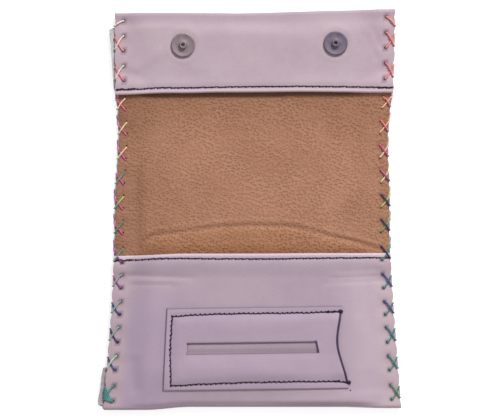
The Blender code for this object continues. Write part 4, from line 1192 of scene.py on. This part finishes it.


# Both snaps are of one grey steel: the lilac tint and the right snap's darker steel are painted reflection.
CAP_STEEL = {"left": turned_steel("left_snap_steel", (0.36, 0.29, 0.31, 1), (0.30, 0.235, 0.26, 1)),
             "right": turned_steel("right_snap_steel", (0.26, 0.215, 0.27, 1), (0.20, 0.165, 0.22, 1))}
CAP = [(radius, CAP_FACE + height) for radius, height in (
    (0, -0.65), (6.5, -0.65), (6.5, -1.2), (7.0, -1.2), (7.0, -0.5), (6.93, -0.22), (6.75, -0.06), (6.5, 0),
    (6.1, -0.03), (5.7, -0.14), (4.0, -0.2), (2.75, -0.2), (2.4, -0.1), (2.15, 0.25), (2.15, 1.5), (2.05, 1.72),
    (1.85, 1.8), (1.3, 1.8), (1.08, 1.7), (1.0, 1.5), (1.0, -0.1), (0, -0.1))]
CASE = [(2.45, 0), (6.4, 0), (6.75, 0.06), (6.95, 0.25), (7.0, 0.5), (7.0, 2.0), (6.5, 2.0), (6.5, 0.5), (2.45, 0.5)]
for side, x in zip(("left", "right"), SNAP_X):
    cap = turned_piece(f"snap_{side}_cap", CAP, (x, SNAP_Y + TOP_TILT * x, 0))
    cap.data.materials.append(CAP_STEEL[side])
    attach(cap, "flap")
    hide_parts(f"snap_cap_{side}")
    case = turned_piece(f"snap_{side}_magnet_case", CASE, (x, MAGNET_Y + TOP_TILT * x, 0))
    case.data.materials.append(CAP_STEEL[side])
    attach(case, "pocket")
    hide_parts(f"magnet_case_{side}")


def plate_steel(name, colour, dark, metallic):
    made = new_material(name, 0.5, metallic)
    return speckled(made, noise(made[1], here(made[1]), 600.0, 4.0), dark, colour, 0.3, 0.0001)


PLATE_STEEL = plate_steel("pressed_plate_steel", (0.45, 0.43, 0.44, 1), (0.30, 0.28, 0.29, 1), 1.0)
SINTERED = plate_steel("magnet_grey", (0.13, 0.13, 0.14, 1), (0.07, 0.07, 0.08, 1), 0.4)
# The parts inside the leather keep the shapes they have in the frame, in these finishes.
for part, finish in (("snap_cap_prongs", PLATE_STEEL), ("snap_cap_washer", PLATE_STEEL),
                     ("magnet_prongs", PLATE_STEEL), ("magnet_washer", PLATE_STEEL), ("magnet", SINTERED)):
    for side in ("left", "right"):
        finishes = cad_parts[f"{part}_{side}"].data.materials
        finishes.clear()
        finishes.append(finish)


# The table, the light and the camera. The case lies open on a plain white table, under a wide soft light from the
# upper right and an even pale room, and the camera looks straight down on it.

# In metres: the table's half width and its level, just under the leather.
TABLE_HALF, TABLE_LEVEL = 3, -0.0002
corners = [(x * TABLE_HALF, y * TABLE_HALF, TABLE_LEVEL) for x, y in ((-1, -1), (1, -1), (1, 1), (-1, 1))]
table_mesh = bpy.data.meshes.new("table")
table_mesh.from_pydata(corners, [], [(0, 1, 2, 3)])
table = added("table", table_mesh)
white, tree, shader = new_material("white_table", 0.8, 0.0, 0.1)
shader.inputs["Base Color"].default_value = (0.72, 0.72, 0.72, 1)
seen = put(tree, "ShaderNodeLightPath")
shown = sums(tree, "MAXIMUM", seen.outputs["Is Camera Ray"],
             sums(tree, "MAXIMUM", seen.outputs["Is Glossy Ray"], seen.outputs["Is Transmission Ray"]))
shader.inputs["Emission Color"].default_value = (1, 1, 1, 1)
tree.links.new(product(tree, shown, 0.68), shader.inputs["Emission Strength"])
table.data.materials.append(white)

world = bpy.data.worlds.new("pale_room")
bpy.context.scene.world = world
world.use_nodes = True
pale_room = world.node_tree.nodes["Background"].inputs
pale_room["Color"].default_value = (1.0, 0.995, 1.0, 1)
pale_room["Strength"].default_value = 0.46

window = added("window", bpy.data.lights.new("window", "AREA"))
window.data.size = 0.42
window.data.energy = 27.5
window.location = (0.5, 1.25, 1.12)
window.rotation_euler = (-window.location).to_track_quat("-Z", "Y").to_euler()

# The picture is 0.29165 m wide at a level 3 mm above the table, 1.597 m below the camera.
SENSOR, TO_CASE, PICTURE_WIDTH = 36.0, 1.597, 0.29165
camera = added("camera", bpy.data.cameras.new("camera"))
camera.location = (-0.00204, -0.0210, 1.6)
camera.data.sensor_width = SENSOR
camera.data.lens = SENSOR * TO_CASE / PICTURE_WIDTH
bpy.context.scene.camera = camera

bpy.context.scene.view_settings.view_transform = "Standard"
